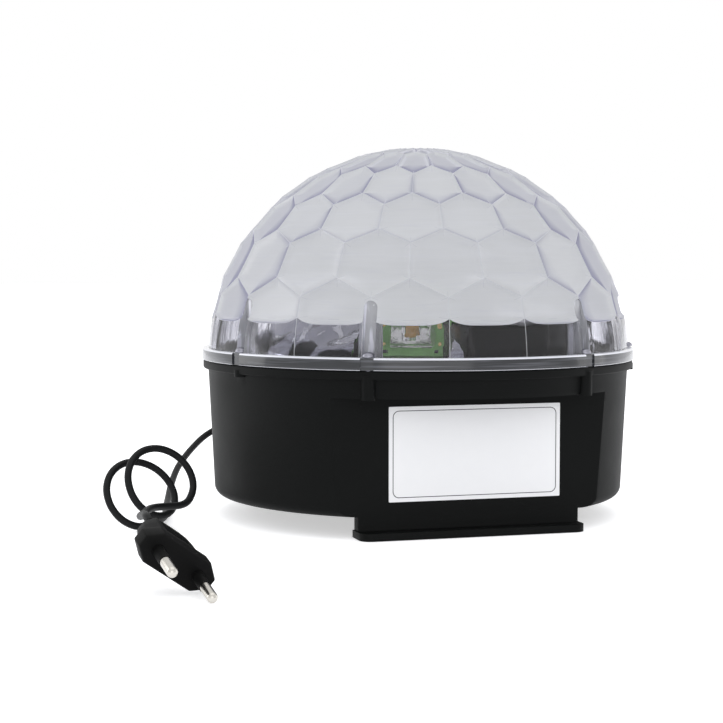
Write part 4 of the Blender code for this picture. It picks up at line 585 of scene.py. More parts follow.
def add_lamp(name, location, target, size, power):
    light = bpy.data.lights.new(name, "AREA")
    light.shape = "RECTANGLE"
    light.size, light.size_y = size
    light.energy = power
    obj = new_object(name, light)
    obj.location = location
    obj.rotation_euler = (Vector(target) - Vector(location)).to_track_quat("-Z", "Y").to_euler()


def make_lights():
    add_lamp("overhead", (0.0, -0.1, 1.5), (0, 0, 0.05), (1.6, 1.6), 4.5)
    add_lamp("left_box", laid(-1.4, 0.15, 0.55), (0, 0, 0.06), (0.7, 1.1), 4.0)
    add_lamp("right_box", laid(1.4, 0.25, 0.45), (0, 0, 0.06), (0.6, 0.9), 1.7)
    add_lamp("front_box", laid(0.2, -2.3, 0.7), (0, 0, 0.06), (2.0, 1.4), 7.0)


# The cord, its relief and its plug

CORD_R, CORD_LEAD = 0.0016, 0.0070
# Points right and back of the cord's exit, and above the floor
CORD_OUT = (
    (-0.0140, 0.0080, 0.0320), (-0.0250, 0.0020, 0.0265), (-0.0315, -0.0120, 0.0203),
    (-0.0355, -0.0320, 0.0137), (-0.0360, -0.0540, 0.0076), (-0.0345, -0.0760, 0.0036),
    (-0.0325, -0.0970, 0.0021), (-0.0300, -0.1160, 0.0021), (-0.0298, -0.1300, 0.0021))
CORD_IN = (
    (-0.0285, -0.1630, 0.0120), (-0.0290, -0.1880, 0.0130), (-0.0260, -0.2140, 0.0160),
    (-0.0205, -0.2400, 0.0205))
LOOP_FIRST = Vector((-0.0400, -0.1440, 0.0144))
LOOP_LAST = Vector((-0.0260, -0.1440, 0.0232))
LOOP_R, LOOP_TURNS, LOOP_POINTS = 0.0146, 2, 12
LOOP_START_DEG, LOOP_YAW_DEG, LOOP_LEAN_DEG = -75.0, -45.0, 30.0
CURVE_STEPS, POINT_STEP = 24, 0.0018
GLAND_ANGLE_DEG, GLAND_Z = -153.0, 0.035
GLAND_FLANGE_R, GLAND_FLANGE_T, GLAND_FLANGE_SOFT = 0.0056, 0.0016, 0.0005
GLAND_TAIL_L, GLAND_TAIL_ROOT_R, GLAND_TAIL_TIP_R, GLAND_TIP_SOFT = 0.0210, 0.0038, 0.0026, 0.0004
GLAND_NECK_R, GLAND_COLLAR_R, GLAND_COLLAR_T = 0.0037, 0.0050, 0.0016
# Each rib's share of the tail's pitch, and how deep the rubber is cut there
RIBS, RIB_PROFILE = 7, ((0.0, 0), (0.55, 0), (0.62, 0.0006), (0.92, 0.0006), (1.0, 0))

PLUG_AT = (0.0004, -0.2980)
PLUG_TURN_DEG, PLUG_DIP_DEG, PLUG_ROLL_DEG = 24.5, 15.5, 35.5
PLUG_FACE_HALF_W, PLUG_FACE_HALF_T, PLUG_CORNER = 0.0163, 0.0064, 0.0054
PLUG_SIDE_SHARE, PLUG_FLOOR_GAP, PLUG_LENGTH = 0.35, 0.0001, 0.0345
# Half width, half thickness, corner and depth behind the face
PLUG_SECTIONS = (
    (0.0157, 0.00575, 0.0052, 0.0), (0.0161, 0.00620, 0.0054, 0.0005),
    (0.0163, 0.00640, 0.0054, 0.0013), (0.0163, 0.00640, 0.0054, 0.0065),
    (0.0160, 0.00625, 0.0054, 0.0075), (0.0131, 0.00580, 0.0046, 0.0086),
    (0.0125, 0.00560, 0.0042, 0.0112), (0.0117, 0.00550, 0.0036, 0.0158),
    (0.0104, 0.00530, 0.0030, 0.0207), (0.0082, 0.00485, 0.0028, 0.0244),
    (0.0060, 0.00440, 0.0027, 0.0270), (0.0047, 0.00400, 0.0027, 0.0282))
PLUG_NECK = (
    (0, -0.0273), (0.0041, -0.0273), (0.0041, -0.0287), (0.0033, -0.0290), (0.0033, -0.0298),
    (0.0038, -0.0301), (0.0038, -0.0311), (0.0030, -0.0314), (0.0030, -0.0322), (0.0034, -0.0325),
    (0.0034, -0.0334), (0.0027, -0.0337), (0.0026, -PLUG_LENGTH), (0, -PLUG_LENGTH))
GRIPS, GRIP_FIRST_Z, GRIP_PITCH = 5, -0.0120, 0.0020
GRIP_HALF_W, GRIP_AT, GRIP_DEPTH, GRIP_HALF_H = 0.0056, 0.0060, 0.0011, 0.0005
SLEEVE_R, SLEEVE_L = 0.0022, 0.0090
PIN_PITCH, PIN_R, PIN_TIP_L, PIN_SHANK_R, PIN_ROOT_Z = 0.0186, 0.0020, 0.0100, 0.0015, -0.0078
PIN_STEP_Z = SLEEVE_L + 0.0002
PIN_TIP_Z = PIN_STEP_Z + PIN_TIP_L
PIN_BORE_R, PIN_BORE_Z = 0.0017, -0.0080
PIN_SIDES = (-PIN_PITCH / 2, PIN_PITCH / 2)


def wall_radius(height):
    """Outer radius of the tapered bowl at a height."""
    low = BOTTOM_Z + BOTTOM_FILLET
    return BOTTOM_R + (BAND_R - BOTTOM_R) * (height - low) / (BASE_FLANGE_LOW - low)


def cord_loops():
    """Points of the cord's two loops, leaning and drifting to the right."""
    yaw, lean = radians(LOOP_YAW_DEG), radians(LOOP_LEAN_DEG)
    along = Vector((cos(yaw), -sin(yaw), 0))
    rise = Vector((sin(yaw) * sin(lean), cos(yaw) * sin(lean), cos(lean)))
    count = LOOP_TURNS * LOOP_POINTS
    points = []
    for i in range(count + 1):
        share = i / count
        turn = radians(LOOP_START_DEG) - 2 * pi * LOOP_TURNS * share
        centre = LOOP_FIRST.lerp(LOOP_LAST, share ** 2 * (3 - 2 * share))
        points.append(centre + (along * cos(turn) + rise * sin(turn)) * LOOP_R)
    return points


def smooth_curve(points, steps):
    """A smooth line through all points."""
    ends = [points[0] * 2 - points[1]] + list(points) + [points[-1] * 2 - points[-2]]
    made = []
    for a, b, c, d in zip(ends, ends[1:], ends[2:], ends[3:]):
        for i in range(steps):
            t = i / steps
            made.append(((b * 2) + (c - a) * t + (a * 2 - b * 5 + c * 4 - d) * t ** 2
                         + (b * 3 - a - c * 3 + d) * t ** 3) / 2)
    made.append(points[-1])
    return made


def even_points(line, step):
    """The same line in steps of about one length."""
    lengths = [0]
    for a, b in zip(line, line[1:]):
        lengths.append(lengths[-1] + (b - a).length)
    count = max(1, round(lengths[-1] / step))
    made, at = [], 0
    for i in range(count):
        target = lengths[-1] * i / count
        while lengths[at + 1] < target:
            at += 1
        share = (target - lengths[at]) / (lengths[at + 1] - lengths[at])
        made.append(line[at].lerp(line[at + 1], share))
    return made + [line[-1]]


def make_relief():
    """The ribbed, tapered strain relief. Returns its tip and the way it points."""
    low = -BASE_WALL - 2 * SEAT_GAP
    flange_top = SEAT_GAP + GLAND_FLANGE_T
    tip = flange_top + GLAND_TAIL_L
    tail = []
    for i in range(RIBS):
        start = tip - GLAND_TAIL_L * i / RIBS
        for share, depth in RIB_PROFILE:
            height = start - GLAND_TAIL_L / RIBS * share
            at = (tip - height) / GLAND_TAIL_L
            radius = GLAND_TAIL_TIP_R + (GLAND_TAIL_ROOT_R - GLAND_TAIL_TIP_R) * at
            tail.append((radius - depth, height))
    profile = [(0, tip), (GLAND_TAIL_TIP_R - GLAND_TIP_SOFT, tip + 1e-7), *tail,
               (GLAND_FLANGE_R - GLAND_FLANGE_SOFT, flange_top),
               (GLAND_FLANGE_R, flange_top - GLAND_FLANGE_SOFT), (GLAND_FLANGE_R, SEAT_GAP),
               (GLAND_NECK_R, SEAT_GAP), (GLAND_NECK_R, low), (GLAND_COLLAR_R, low),
               (GLAND_COLLAR_R, low - GLAND_COLLAR_T), (0, low - GLAND_COLLAR_T)]
    relief = turned("ribbed_relief", profile, 40, RUBBER)
    out = around(GLAND_ANGLE_DEG)
    foot = out * wall_radius(GLAND_Z) + UP * GLAND_Z
    put(relief, "cord_relief",
        Matrix.Translation(foot) @ out.to_track_quat("Z", "Y").to_matrix().to_4x4())
    return foot + out * tip, out


def plug_ring(half_w, half_t, corner, depth):
    """The plug's outline at a depth behind its face."""
    side = half_t * PLUG_SIDE_SHARE
    flat = half_w - corner
    return [(x, y, -depth) for x, y in (
        (flat, half_t), (-flat, half_t), (-half_w, side), (-half_w, -side),
        (-flat, -half_t), (flat, -half_t), (half_w, -side), (half_w, side))]


def plug_place(under_exit):
    """The plug's own axes: X across the pins, Z the way they point."""
    turn, dip = radians(PLUG_TURN_DEG), radians(PLUG_DIP_DEG)
    pins_way = laid(sin(turn) * cos(dip), -cos(turn) * cos(dip), -sin(dip))
    level = UP.cross(pins_way).normalized()
    roll = radians(PLUG_ROLL_DEG)
    across = level * cos(roll) - pins_way.cross(level) * sin(roll)
    thick = pins_way.cross(across)
    ring = plug_ring(PLUG_FACE_HALF_W, PLUG_FACE_HALF_T, PLUG_CORNER, 0)
    heights = [x * across.z + y * thick.z for x, y, _ in ring]
    heights += [x * across.z + (PIN_TIP_Z - PIN_R) * pins_way.z - PIN_R for x in PIN_SIDES]
    turned_axes = Matrix((across, thick, pins_way)).transposed().to_4x4()
    middle = under_exit + laid(*PLUG_AT, PLUG_FLOOR_GAP - min(heights))
    return Matrix.Translation(middle) @ turned_axes, pins_way


def make_plug(under_exit):
    """The two-pin plug with its ribbed neck and bright pins."""
    place, pins_way = plug_place(under_exit)
    body = loft("moulded_plug", [plug_ring(*section) for section in PLUG_SECTIONS], PLUG_BLACK)
    bevel(body, 0.0006, 25, 3)
    spots = [(x, 0) for x in PIN_SIDES]
    sleeves = (SLEEVE_R, -SLEEVE_R, SLEEVE_L, 28, spots)
    bores = (PIN_BORE_R, PIN_BORE_Z, SLEEVE_L + OVERRUN, 28, spots)
    grips = [((-GRIP_HALF_W, side * GRIP_AT - GRIP_DEPTH, z - GRIP_HALF_H),
              (GRIP_HALF_W, side * GRIP_AT + GRIP_DEPTH, z + GRIP_HALF_H))
             for side in (-1, 1) for z in (GRIP_FIRST_Z - i * GRIP_PITCH for i in range(GRIPS))]
    boolean(body, turned("plug_neck", PLUG_NECK, 28, PLUG_BLACK), "UNION")
    boolean(body, shape("sleeves", PLUG_BLACK, add_rods, sleeves), "UNION")
    boolean(body, shape("grips", PLUG_BLACK, add_block, *grips))
    boolean(body, shape("bores", PLUG_BLACK, add_rods, bores))
    bake(body)
    put(body, "plug_body", place)
    pieces = [body]
    profile = [(0, PIN_TIP_Z)] + arc((0, PIN_TIP_Z - PIN_R), PIN_R, 82, 0, 7)
    profile += [(PIN_R, PIN_STEP_Z), (PIN_SHANK_R, PIN_STEP_Z), (PIN_SHANK_R, PIN_ROOT_Z),
                (0, PIN_ROOT_Z)]
    for number, x in enumerate(PIN_SIDES, 1):
        pin = turned("bright_pin_%d" % number, profile, 32, CHROME)
        put(pin, "plug_pin_%d" % number, place @ Matrix.Translation((x, 0, 0)))
        pieces.append(pin)
    return pieces, place @ (UP * (-PLUG_LENGTH - SEAT_GAP)), -pins_way


def make_cord():
    """The mains cord as one smooth tube along its laid route."""
    tip, out = make_relief()
    start = tip + out * SEAT_GAP
    under_exit = Vector((start.x, start.y, 0))
    on_end, tail, back = make_plug(under_exit)
    route = [start, start + out * CORD_LEAD]
    route += [under_exit + laid(*point) for point in (*CORD_OUT, *cord_loops(), *CORD_IN)]
    route += [tail + back * CORD_LEAD, tail]
    points = even_points(smooth_curve(route, CURVE_STEPS), POINT_STEP)
    curve = bpy.data.curves.new("mains_cord", "CURVE")
    curve.dimensions = "3D"
    curve.bevel_depth = CORD_R
    curve.bevel_resolution = 6
    curve.use_fill_caps = True
    spline = curve.splines.new("POLY")
    spline.points.add(len(points) - 1)
    for spot, point in zip(spline.points, points):
        spot.co = (*point, 1)
    spline.use_smooth = True
    cord = new_object("mains_cord", curve, RUBBER)
    put(cord, "power_cord")


# The base

BOWL_STEPS, WALL_ROWS = 180, 9
CASE_SCREWS = [around(a, SCREW_CIRCLE_R) for a in SCREW_ANGLES_DEG]
DECK_SCREWS = [around(a, DECK_SCREW_CIRCLE_R) for a in DECK_SCREW_ANGLES_DEG]


def bowl_outline(inset, top):
    """The bowl's profile from its top down, or that of its hollow by an inset."""
    middle = (BOTTOM_R - BOTTOM_FILLET, BOTTOM_Z + BOTTOM_FILLET)
    wall_low = BOTTOM_Z + BOTTOM_FILLET
    outline = []
    for i in range(WALL_ROWS):
        share = i / WALL_ROWS
        outline.append((BAND_R + (BOTTOM_R - BAND_R) * share - inset,
                        BASE_FLANGE_LOW + (wall_low - BASE_FLANGE_LOW) * share))
    outline += arc(middle, BOTTOM_FILLET - inset, 0, -90, 8)
    outline.append((0, BOTTOM_Z + inset))
    if inset:
        return [(0, top), (BAND_R - inset, top)] + outline
    soft = 0.0004
    return [(0, top), (BASE_FLANGE_R - soft, top), (BASE_FLANGE_R, top - soft),
            (BASE_FLANGE_R, BASE_FLANGE_LOW + soft), (BASE_FLANGE_R - soft, BASE_FLANGE_LOW),
            *outline]


def flat_block(name, inset):
    """What the flat label side and its ledge cut from the round bowl."""
    return shape(name, None, add_block, ((-BASE_FLANGE_R, -BASE_FLANGE_R - OVERRUN, -OVERRUN),
                                         (BASE_FLANGE_R, -FLAT_Y + inset, LEDGE_Z + inset)))


def foot_bar(name, near_y, side):
    """A moulded bar with a thin lip, whose outer corners are round."""
    far_y = near_y + side * FOOT_DEPTH
    bar = shape(name, None, add_block, ((-FOOT_HALF_W, min(near_y, far_y), LIP_T / 2),
                                        (FOOT_HALF_W, max(near_y, far_y), BOTTOM_Z + FOOT_SINK)))
    lip_y = far_y + side * LIP_FRONT
    half_w = FOOT_HALF_W + LIP_SIDE
    outline = [(-half_w, near_y), (half_w, near_y)]
    steps = 6
    for corner in (1, -1):
        for i in range(steps + 1):
            turn = radians(90) * (i if corner > 0 else steps - i) / steps
            outline.append((corner * (half_w - LIP_CORNER_R * (1 - cos(turn))),
                            lip_y - side * LIP_CORNER_R * (1 - sin(turn))))
    lip = loft(name + "_lip", [[(x, y, height) for x, y in outline] for height in (0, LIP_T)])
    boolean(bar, lip, "UNION")
    return bar


PAD_Y, PAD_BACK_Y, PAD_HALF_W, PAD_HALF_H, SWITCH_Z = 0.0965, 0.0925, 0.0105, 0.014, 0.038
BODY_HALF_W, BODY_HALF_H, BODY_DEPTH = 0.0062, 0.0095, 0.0140
MIC_ANGLE_DEG, MIC_Z, MIC_R, MIC_LENGTH, MIC_HOLE_R = 162.0, 0.040, 0.0030, 0.0040, 0.0011
MIC_BOSS_R, GLAND_BORE_R, SCREW_HOLE_RISE = 0.0045, 0.0040, 0.0010
POST_R, POST_TOP_Z = 0.0040, 0.0694
POST_HOLE_R, POST_HOLE_LOW_Z, POST_HOLE_TOP_Z = 0.0015, 0.0617, 0.0740
BOARD_POST_R, BOARD_POST_H = 0.0030, 0.0060
BOARD_POSTS = [(x, y) for x in (-0.0375, 0.0375) for y in (-0.0595, -0.0165)]
FRONT_DEG = 45
VENTS, VENT_PITCH, VENT_HALF_W, VENT_START_Y, VENT_END_Y = 5, 0.009, 0.0016, -0.005, 0.029


def make_base():
    """The black bowl with its flat side, bosses, feet, vents and holes."""
    base = turned("bowl_shell", bowl_outline(0, BASE_TOP), BOWL_STEPS, BLACK)
    boolean(base, flat_block("flat_side", 0))
    boolean(base, foot_bar("front_foot", -FLAT_Y + FOOT_DEPTH, -1), "UNION")
    boolean(base, foot_bar("rear_foot", FLAT_Y - FOOT_DEPTH, 1), "UNION")
    outside = bmesh.new()
    for angle, spot in zip(SCREW_ANGLES_DEG, CASE_SCREWS):
        low = BOSS_LOW_Z if abs(angle) < FRONT_DEG else SIDE_BOSS_LOW_Z
        add_rods(outside, BOSS_R, low, BASE_FLANGE_LOW + BOSS_SINK, 32, [spot])
    add_block(outside, (-PAD_HALF_W, PAD_BACK_Y, SWITCH_Z - PAD_HALF_H),
              (PAD_HALF_W, PAD_Y, SWITCH_Z + PAD_HALF_H))
    boolean(base, mesh_object("bosses", outside), "UNION")
    bevel(base, 0.0005, 35, 2)
    bake(base)

    hollow = turned("bowl_hollow", bowl_outline(BASE_WALL, BASE_TOP + OVERRUN), BOWL_STEPS)
    boolean(hollow, flat_block("flat_side_inside", BASE_WALL))
    boolean(base, hollow)
    inside, holes = bmesh.new(), bmesh.new()
    root = BOTTOM_Z + FOOT_SINK
    add_rods(inside, POST_R, root, POST_TOP_Z, 28, DECK_SCREWS)
    add_rods(inside, BOARD_POST_R, root, FLOOR_Z + BOARD_POST_H, 24, BOARD_POSTS)
    mic_wall, mic = wall_radius(MIC_Z) - BASE_WALL, (MIC_ANGLE_DEG, MIC_Z)
    add_rod_out(inside, MIC_BOSS_R, mic_wall - MIC_LENGTH, mic_wall + BASE_WALL / 2, 28, *mic)
    boolean(base, mesh_object("posts", inside), "UNION")
    add_rods(holes, SCREW_HOLE_R, SIDE_BOSS_LOW_Z + SCREW_HOLE_RISE, BASE_TOP + OVERRUN, 20,
             CASE_SCREWS)
    add_rods(holes, POST_HOLE_R, POST_HOLE_LOW_Z, POST_HOLE_TOP_Z, 20, DECK_SCREWS)
    for i in range(VENTS):
        x = (i - VENTS // 2) * VENT_PITCH
        add_block(holes, (x - VENT_HALF_W, VENT_START_Y, BOTTOM_Z - OVERRUN),
                  (x + VENT_HALF_W, VENT_END_Y, FLOOR_Z + OVERRUN))
    half_w, half_h = BODY_HALF_W + SEAT_GAP, BODY_HALF_H + SEAT_GAP
    add_block(holes, (-half_w, PAD_Y - BODY_DEPTH, SWITCH_Z - half_h),
              (half_w, PAD_Y + OVERRUN, SWITCH_Z + half_h))
    gland_wall = wall_radius(GLAND_Z)
    add_rod_out(holes, GLAND_BORE_R, gland_wall - BASE_WALL - OVERRUN, gland_wall + OVERRUN, 32,
                GLAND_ANGLE_DEG, GLAND_Z)
    add_rod_out(holes, MIC_HOLE_R, mic_wall, mic_wall + BASE_WALL + OVERRUN, 20, *mic)
    boolean(base, mesh_object("base_holes", holes))
    mic_bore = (MIC_R + SEAT_GAP, mic_wall - MIC_LENGTH - OVERRUN, mic_wall + SEAT_GAP, 28, *mic)
    boolean(base, shape("mic_bore", None, add_rod_out, mic_bore))
    bake(base)
    put(base, "base_housing")


LABEL = (-0.0366, 0.0411, 0.0151, 0.0557)
LABEL_GAP, LABEL_T, LABEL_CORNER = 0.0001, 0.0003, 0.0004
LINE_INSET, LINE_W, LINE_T, LINE_CORNER = 0.0017, 0.00032, 0.00004, 0.0028


def rounded_outline(left, right, low, high, radius, steps=8):
    """A rectangle with round corners."""
    points = []
    for cx, cz, start in ((right - radius, high - radius, 0), (left + radius, high - radius, 90),
                          (left + radius, low + radius, 180), (right - radius, low + radius, 270)):
        points += arc((cx, cz), radius, start, start + 90, steps)
    return points


def make_label():
    """The bare plate with its thin printed frame."""
    left, right, low, high = LABEL
    back = -FLAT_Y - LABEL_GAP
    front = back - LABEL_T
    outline = rounded_outline(left, right, low, high, LABEL_CORNER, 3)
    plate = loft("label_film", [[(x, y, z) for x, z in outline] for y in (back, front)], PAPER)
    put(plate, "label_plate")
    rings = []
    for shift, y in ((0, front), (0, front - LINE_T), (LINE_W, front - LINE_T), (LINE_W, front)):
        d = LINE_INSET + shift
        outline = rounded_outline(left + d, right - d, low + d, high - d, LINE_CORNER - shift)
        rings.append([(x, y, z) for x, z in outline])
    put(loft("label_frame_line", rings, INK, caps=False), None)


# The dome

EDGE_STEPS, SILL_STEPS, BAND_ROWS = 6, 16, 4
DISH_RINGS = (0.985, 0.965, 0.94, 0.91, 0.87, 0.82, 0.74, 0.60, 0.35)
DISH_DEPTH, DISH_POWER, EDGE_DIP = 0.00130, 7, 0.00012
BAND_FLATNESS = 0.5
GROOVE_DEPTH = 0.0007


def dome_point(elevation_deg, angle_deg):
    elevation = radians(elevation_deg)
    return around(angle_deg, DOME_R * cos(elevation),
                  PARTING_Z + DOME_R * sin(elevation) * RISE_SHARE)


def line_elevation(line, column):
    """How high a corner stands: facets' corners lie low and high by turns."""
    low = ROW_ELEVATIONS_DEG[line]
    above = ROW_ELEVATIONS_DEG[line + 1] if line + 1 < len(ROW_ELEVATIONS_DEG) else 90
    return low if (line + column) % 2 else low + (above - low) * SIDE_RISE_SHARE


def dome_solid():
    """The dome's outside as a closed solid: facets, ridges and the clear band."""
    bm = bmesh.new()
    columns = 2 * FACETS_ROUND
    step_deg = 360 / columns
    corners, sides = {}, {}
    middle_low = UP * PARTING_Z

    def corner(key):
        if key not in corners:
            line, column = key
            corners[key] = bm.verts.new(dome_point(line_elevation(line, column), column * step_deg))
        return corners[key]

    def side(a, b):
        """Points from one corner to the next, dipping a little between them."""
        if (b, a) in sides:
            return sides[b, a][::-1]
        if (a, b) not in sides:
            start, end = corner(a), corner(b)
            sides[a, b] = [start]
            for i in range(1, EDGE_STEPS):
                t = i / EDGE_STEPS
                point = start.co.lerp(end.co, t)
                out = (point - middle_low).normalized()
                sides[a, b].append(bm.verts.new(point - out * EDGE_DIP * (1 - (2 * t - 1) ** 2)))
            sides[a, b].append(end)
        return sides[a, b]

    def along(keys):
        """Points along the sides that join corners in turn, without the last."""
        return [v for a, b in zip(keys, keys[1:]) for v in side(a, b)[:-1]]

    def facet(loop, spots):
        """Faces within a loop of points, in rings that sink towards the middle."""
        middle = sum((v.co for v in spots), Vector()) / len(spots)
        out = (middle - middle_low).normalized()
        rings = [loop]
        for share in DISH_RINGS:
            ring = []
            for v in loop:
                way = v.co - middle
                proud = way.dot(out)
                dish = proud * share ** DISH_POWER - DISH_DEPTH * (1 - share ** DISH_POWER)
                ring.append(bm.verts.new(middle + (way - out * proud) * share + out * dish))
            rings.append(ring)
        centre = bm.verts.new(middle - out * DISH_DEPTH)
        for a, b in zip(rings, rings[1:]):
            stitch(bm, a, b)
        for a, b in pairs(rings[-1]):
            bm.faces.new((a, b, centre))

    count = SILL_STEPS * FACETS_ROUND
    band = []
    for row in range(BAND_ROWS + 1):
        ring = []
        for i in range(count):
            angle_deg = (i / SILL_STEPS - 1 / 2) * 2 * step_deg
            across = 2 * (i % SILL_STEPS) / SILL_STEPS - 1
            top = BAND_TOP_MID + (BAND_TOP_EDGE - BAND_TOP_MID) * across ** 4
            low = DOME_FLANGE_T / 2
            height = low + (top - low) * row / BAND_ROWS
            spot = dome_point(degrees(asin(height / DOME_R)), angle_deg)
            inward = 1 - BAND_FLATNESS * (1 - cos(radians(step_deg))) * (1 - across ** 2)
            ring.append(bm.verts.new((spot.x * inward, spot.y * inward, spot.z)))
        band.append(ring)
    for a, b in zip(band, band[1:]):
        for face in stitch(bm, a, b):
            face.material_index = 1
    bm.faces.new(band[0][::-1]).material_index = 1

    sill = band[-1]
    for panel in range(FACETS_ROUND):
        corners["sill", panel] = sill[panel * SILL_STEPS]
    for panel in range(FACETS_ROUND):
        column = 2 * panel
        run = [sill[(panel * SILL_STEPS + i) % count] for i in range(SILL_STEPS + 1)]
        keys = [("sill", (panel + 1) % FACETS_ROUND), (0, (column + 1) % columns), (0, column),
                (0, (column - 1) % columns), ("sill", panel)]
        spots = run[::4] + [corner(key) for key in keys[1:-1]]
        facet(run[:-1] + along(keys), spots)
    last = len(ROW_ELEVATIONS_DEG) - 1
    for row in range(last):
        for column in range((row + 1) % 2, columns, 2):
            left, right = (column - 1) % columns, (column + 1) % columns
            keys = [(row, column), (row, right), (row + 1, right), (row + 1, column),
                    (row + 1, left), (row, left)]
            facet(along(keys + keys[:1]), [corner(key) for key in keys])
    keys = [(last, column) for column in range(columns)]
    facet(along(keys + keys[:1]), [corner(key) for key in keys])
    return bm


def add_arch(bm, angle_deg, near, far, half_w, low, high):
    """A block with a round top, running outward from the lamp's axis."""
    out = around(angle_deg)
    side = UP.cross(out)
    outline = [(-half_w, low), (half_w, low)] + arc((0, high - half_w), half_w, 0, 180, 12)
    add_loft(bm, [[out * radius + side * x + UP * z for x, z in outline] for radius in (near, far)])


def make_dome():
    """Faceted dome: frosted facets with ridges in a painted highlight, over a clear band and a
    flange with a painted highlight on its level faces.
    """
    dome = mesh_object("faceted_dome", dome_solid(), FROSTED)
    dome.data.materials.append(CLEAR)
    dome.data.materials.append(RIDGE)
    bevel(dome, 0.00035, 8, 2, material=2)
    bake(dome)
    top = PARTING_Z + DOME_FLANGE_T
    soft = 0.0008
    flange = turned("dome_flange", [(0, top), (DOME_FLANGE_R - soft, top),
                                    (DOME_FLANGE_R - soft * 0.3, top - soft * 0.3),
                                    (DOME_FLANGE_R, top - soft),
                                    (DOME_FLANGE_R, PARTING_Z + soft * 0.3),
                                    (DOME_FLANGE_R - soft * 0.3, PARTING_Z), (0, PARTING_Z)],
                    BOWL_STEPS, LIT_EDGE)
    flange.data.materials.append(SMOKY)
    # Level faces take the painted highlight plastic, upright faces the smoky plastic.
    for face in flange.data.polygons:
        face.material_index = 1 if abs(face.normal.z) < 0.2 else 0
    boolean(dome, flange, "UNION")
    inner_r = DOME_R - DOME_WALL
    outline = [(0, PARTING_Z + inner_r)] + arc((0, PARTING_Z), inner_r, 89, 0, 36)
    outline += [(inner_r, PARTING_Z - OVERRUN), (0, PARTING_Z - OVERRUN)]
    hollow = turned("dome_hollow", outline, 144, CLEAR)
    reach = DOME_FLANGE_R + OVERRUN
    boolean(hollow, shape_round("notch_walls", NOTCH, SCREW_ANGLES_DEG, add_arch,
                                NOTCH_IN_R - NOTCH_WALL, reach, NOTCH_HALF_W + NOTCH_WALL,
                                PARTING_Z - 2 * OVERRUN, NOTCH_TOP_Z + NOTCH_WALL))
    boolean(dome, hollow)
    boolean(dome, shape_round("notches", NOTCH, SCREW_ANGLES_DEG, add_arch, NOTCH_IN_R, reach,
                              NOTCH_HALF_W, top, NOTCH_TOP_Z))
    boolean(dome, shape_round("flange_grooves", SMOKY, SCREW_ANGLES_DEG, add_radial_block,
                              DOME_FLANGE_R - GROOVE_DEPTH, reach, NOTCH_HALF_W,
                              PARTING_Z - OVERRUN, top + OVERRUN))
    holes = (SCREW_HOLE_R, PARTING_Z - OVERRUN, top + OVERRUN, 20, CASE_SCREWS)
    boolean(dome, shape("flange_holes", CLEAR, add_rods, holes))
    bake(dome)
    put(dome, "dome_cover")


# Inside: tray, heads, cover, rotor and screws

HEAD_ANGLES_DEG = (-23.0, 97.0, 217.0)
TRAY_IN_R, TRAY_OUT_R, TRAY_RIM_IN_R, TRAY_PEAK_Z, TRAY_T = 0.044, 0.0855, 0.0800, 0.0880, 0.0014
TRAY_RISE_POWER, WAVE_COUNT, WAVE_HEIGHT = 0.36, 9, 0.0019
WINDOW_IN_R, WINDOW_HALF_W = 0.034, 0.0205
COVER_IN_R, COVER_OUT_R, COVER_START_DEG, COVER_END_DEG = 0.0475, 0.0785, -2.0, 58.0
COVER_TOP_Z, COVER_WALL, COVER_GAP_DEG = 0.0890, 0.0016, 2.0


def tray_surface(radius, angle):
    """The tray's underside and top: a steep, wavy rise towards the middle."""
    share = min(1, max(0, (TRAY_RIM_IN_R - radius) / (TRAY_RIM_IN_R - TRAY_IN_R)))
    rim = ON_DECK + TRAY_T
    wave = WAVE_HEIGHT * sin(WAVE_COUNT * angle) * sin(pi * share)
    top = rim + (TRAY_PEAK_Z - rim) * share ** TRAY_RISE_POWER + wave
    return top - TRAY_T, top


def add_wavy_ring(bm, inner, outer, rings, steps, height_of):
    """A ring with the heights of its underside and top from radius and angle."""
    grid = []
    for k in range(rings + 1):
        radius = inner + (outer - inner) * k / rings
        row = []
        for i in range(steps):
            angle = 2 * pi * i / steps
            row.append([bm.verts.new(around(degrees(angle), radius, z))
                        for z in height_of(radius, angle)])
        grid.append(list(zip(*row)))
    for near, far in zip(grid, grid[1:]):
        for side in (0, 1):
            stitch(bm, near[side], far[side])
    stitch(bm, *grid[0])
    stitch(bm, *grid[-1])


def sector_rings(inner, outer, start_deg, end_deg, low, high, steps):
    """The lower and upper outline of a block that follows the lamp's round."""
    angles = [start_deg + (end_deg - start_deg) * i / steps for i in range(steps + 1)]
    outline = [around(a, outer) for a in angles] + [around(a, inner) for a in reversed(angles)]
    return [[point + UP * z for point in outline] for z in (low, high)]


def make_tray():
    tray = shape("wavy_tray", MIRROR, add_wavy_ring, (TRAY_IN_R, TRAY_OUT_R, 24, 216, tray_surface))
    low, high = ON_DECK - OVERRUN, TRAY_PEAK_Z + OVERRUN
    boolean(tray, shape_round("head_windows", None, HEAD_ANGLES_DEG, add_radial_block, WINDOW_IN_R,
                              TRAY_RIM_IN_R, WINDOW_HALF_W, low, high))
    boolean(tray, loft("cover_window", sector_rings(
        TRAY_IN_R - OVERRUN, TRAY_RIM_IN_R, COVER_START_DEG - COVER_GAP_DEG,
        COVER_END_DEG + COVER_GAP_DEG, low, high, 24)))
    bake(tray)
    put(tray, "reflector_tray")


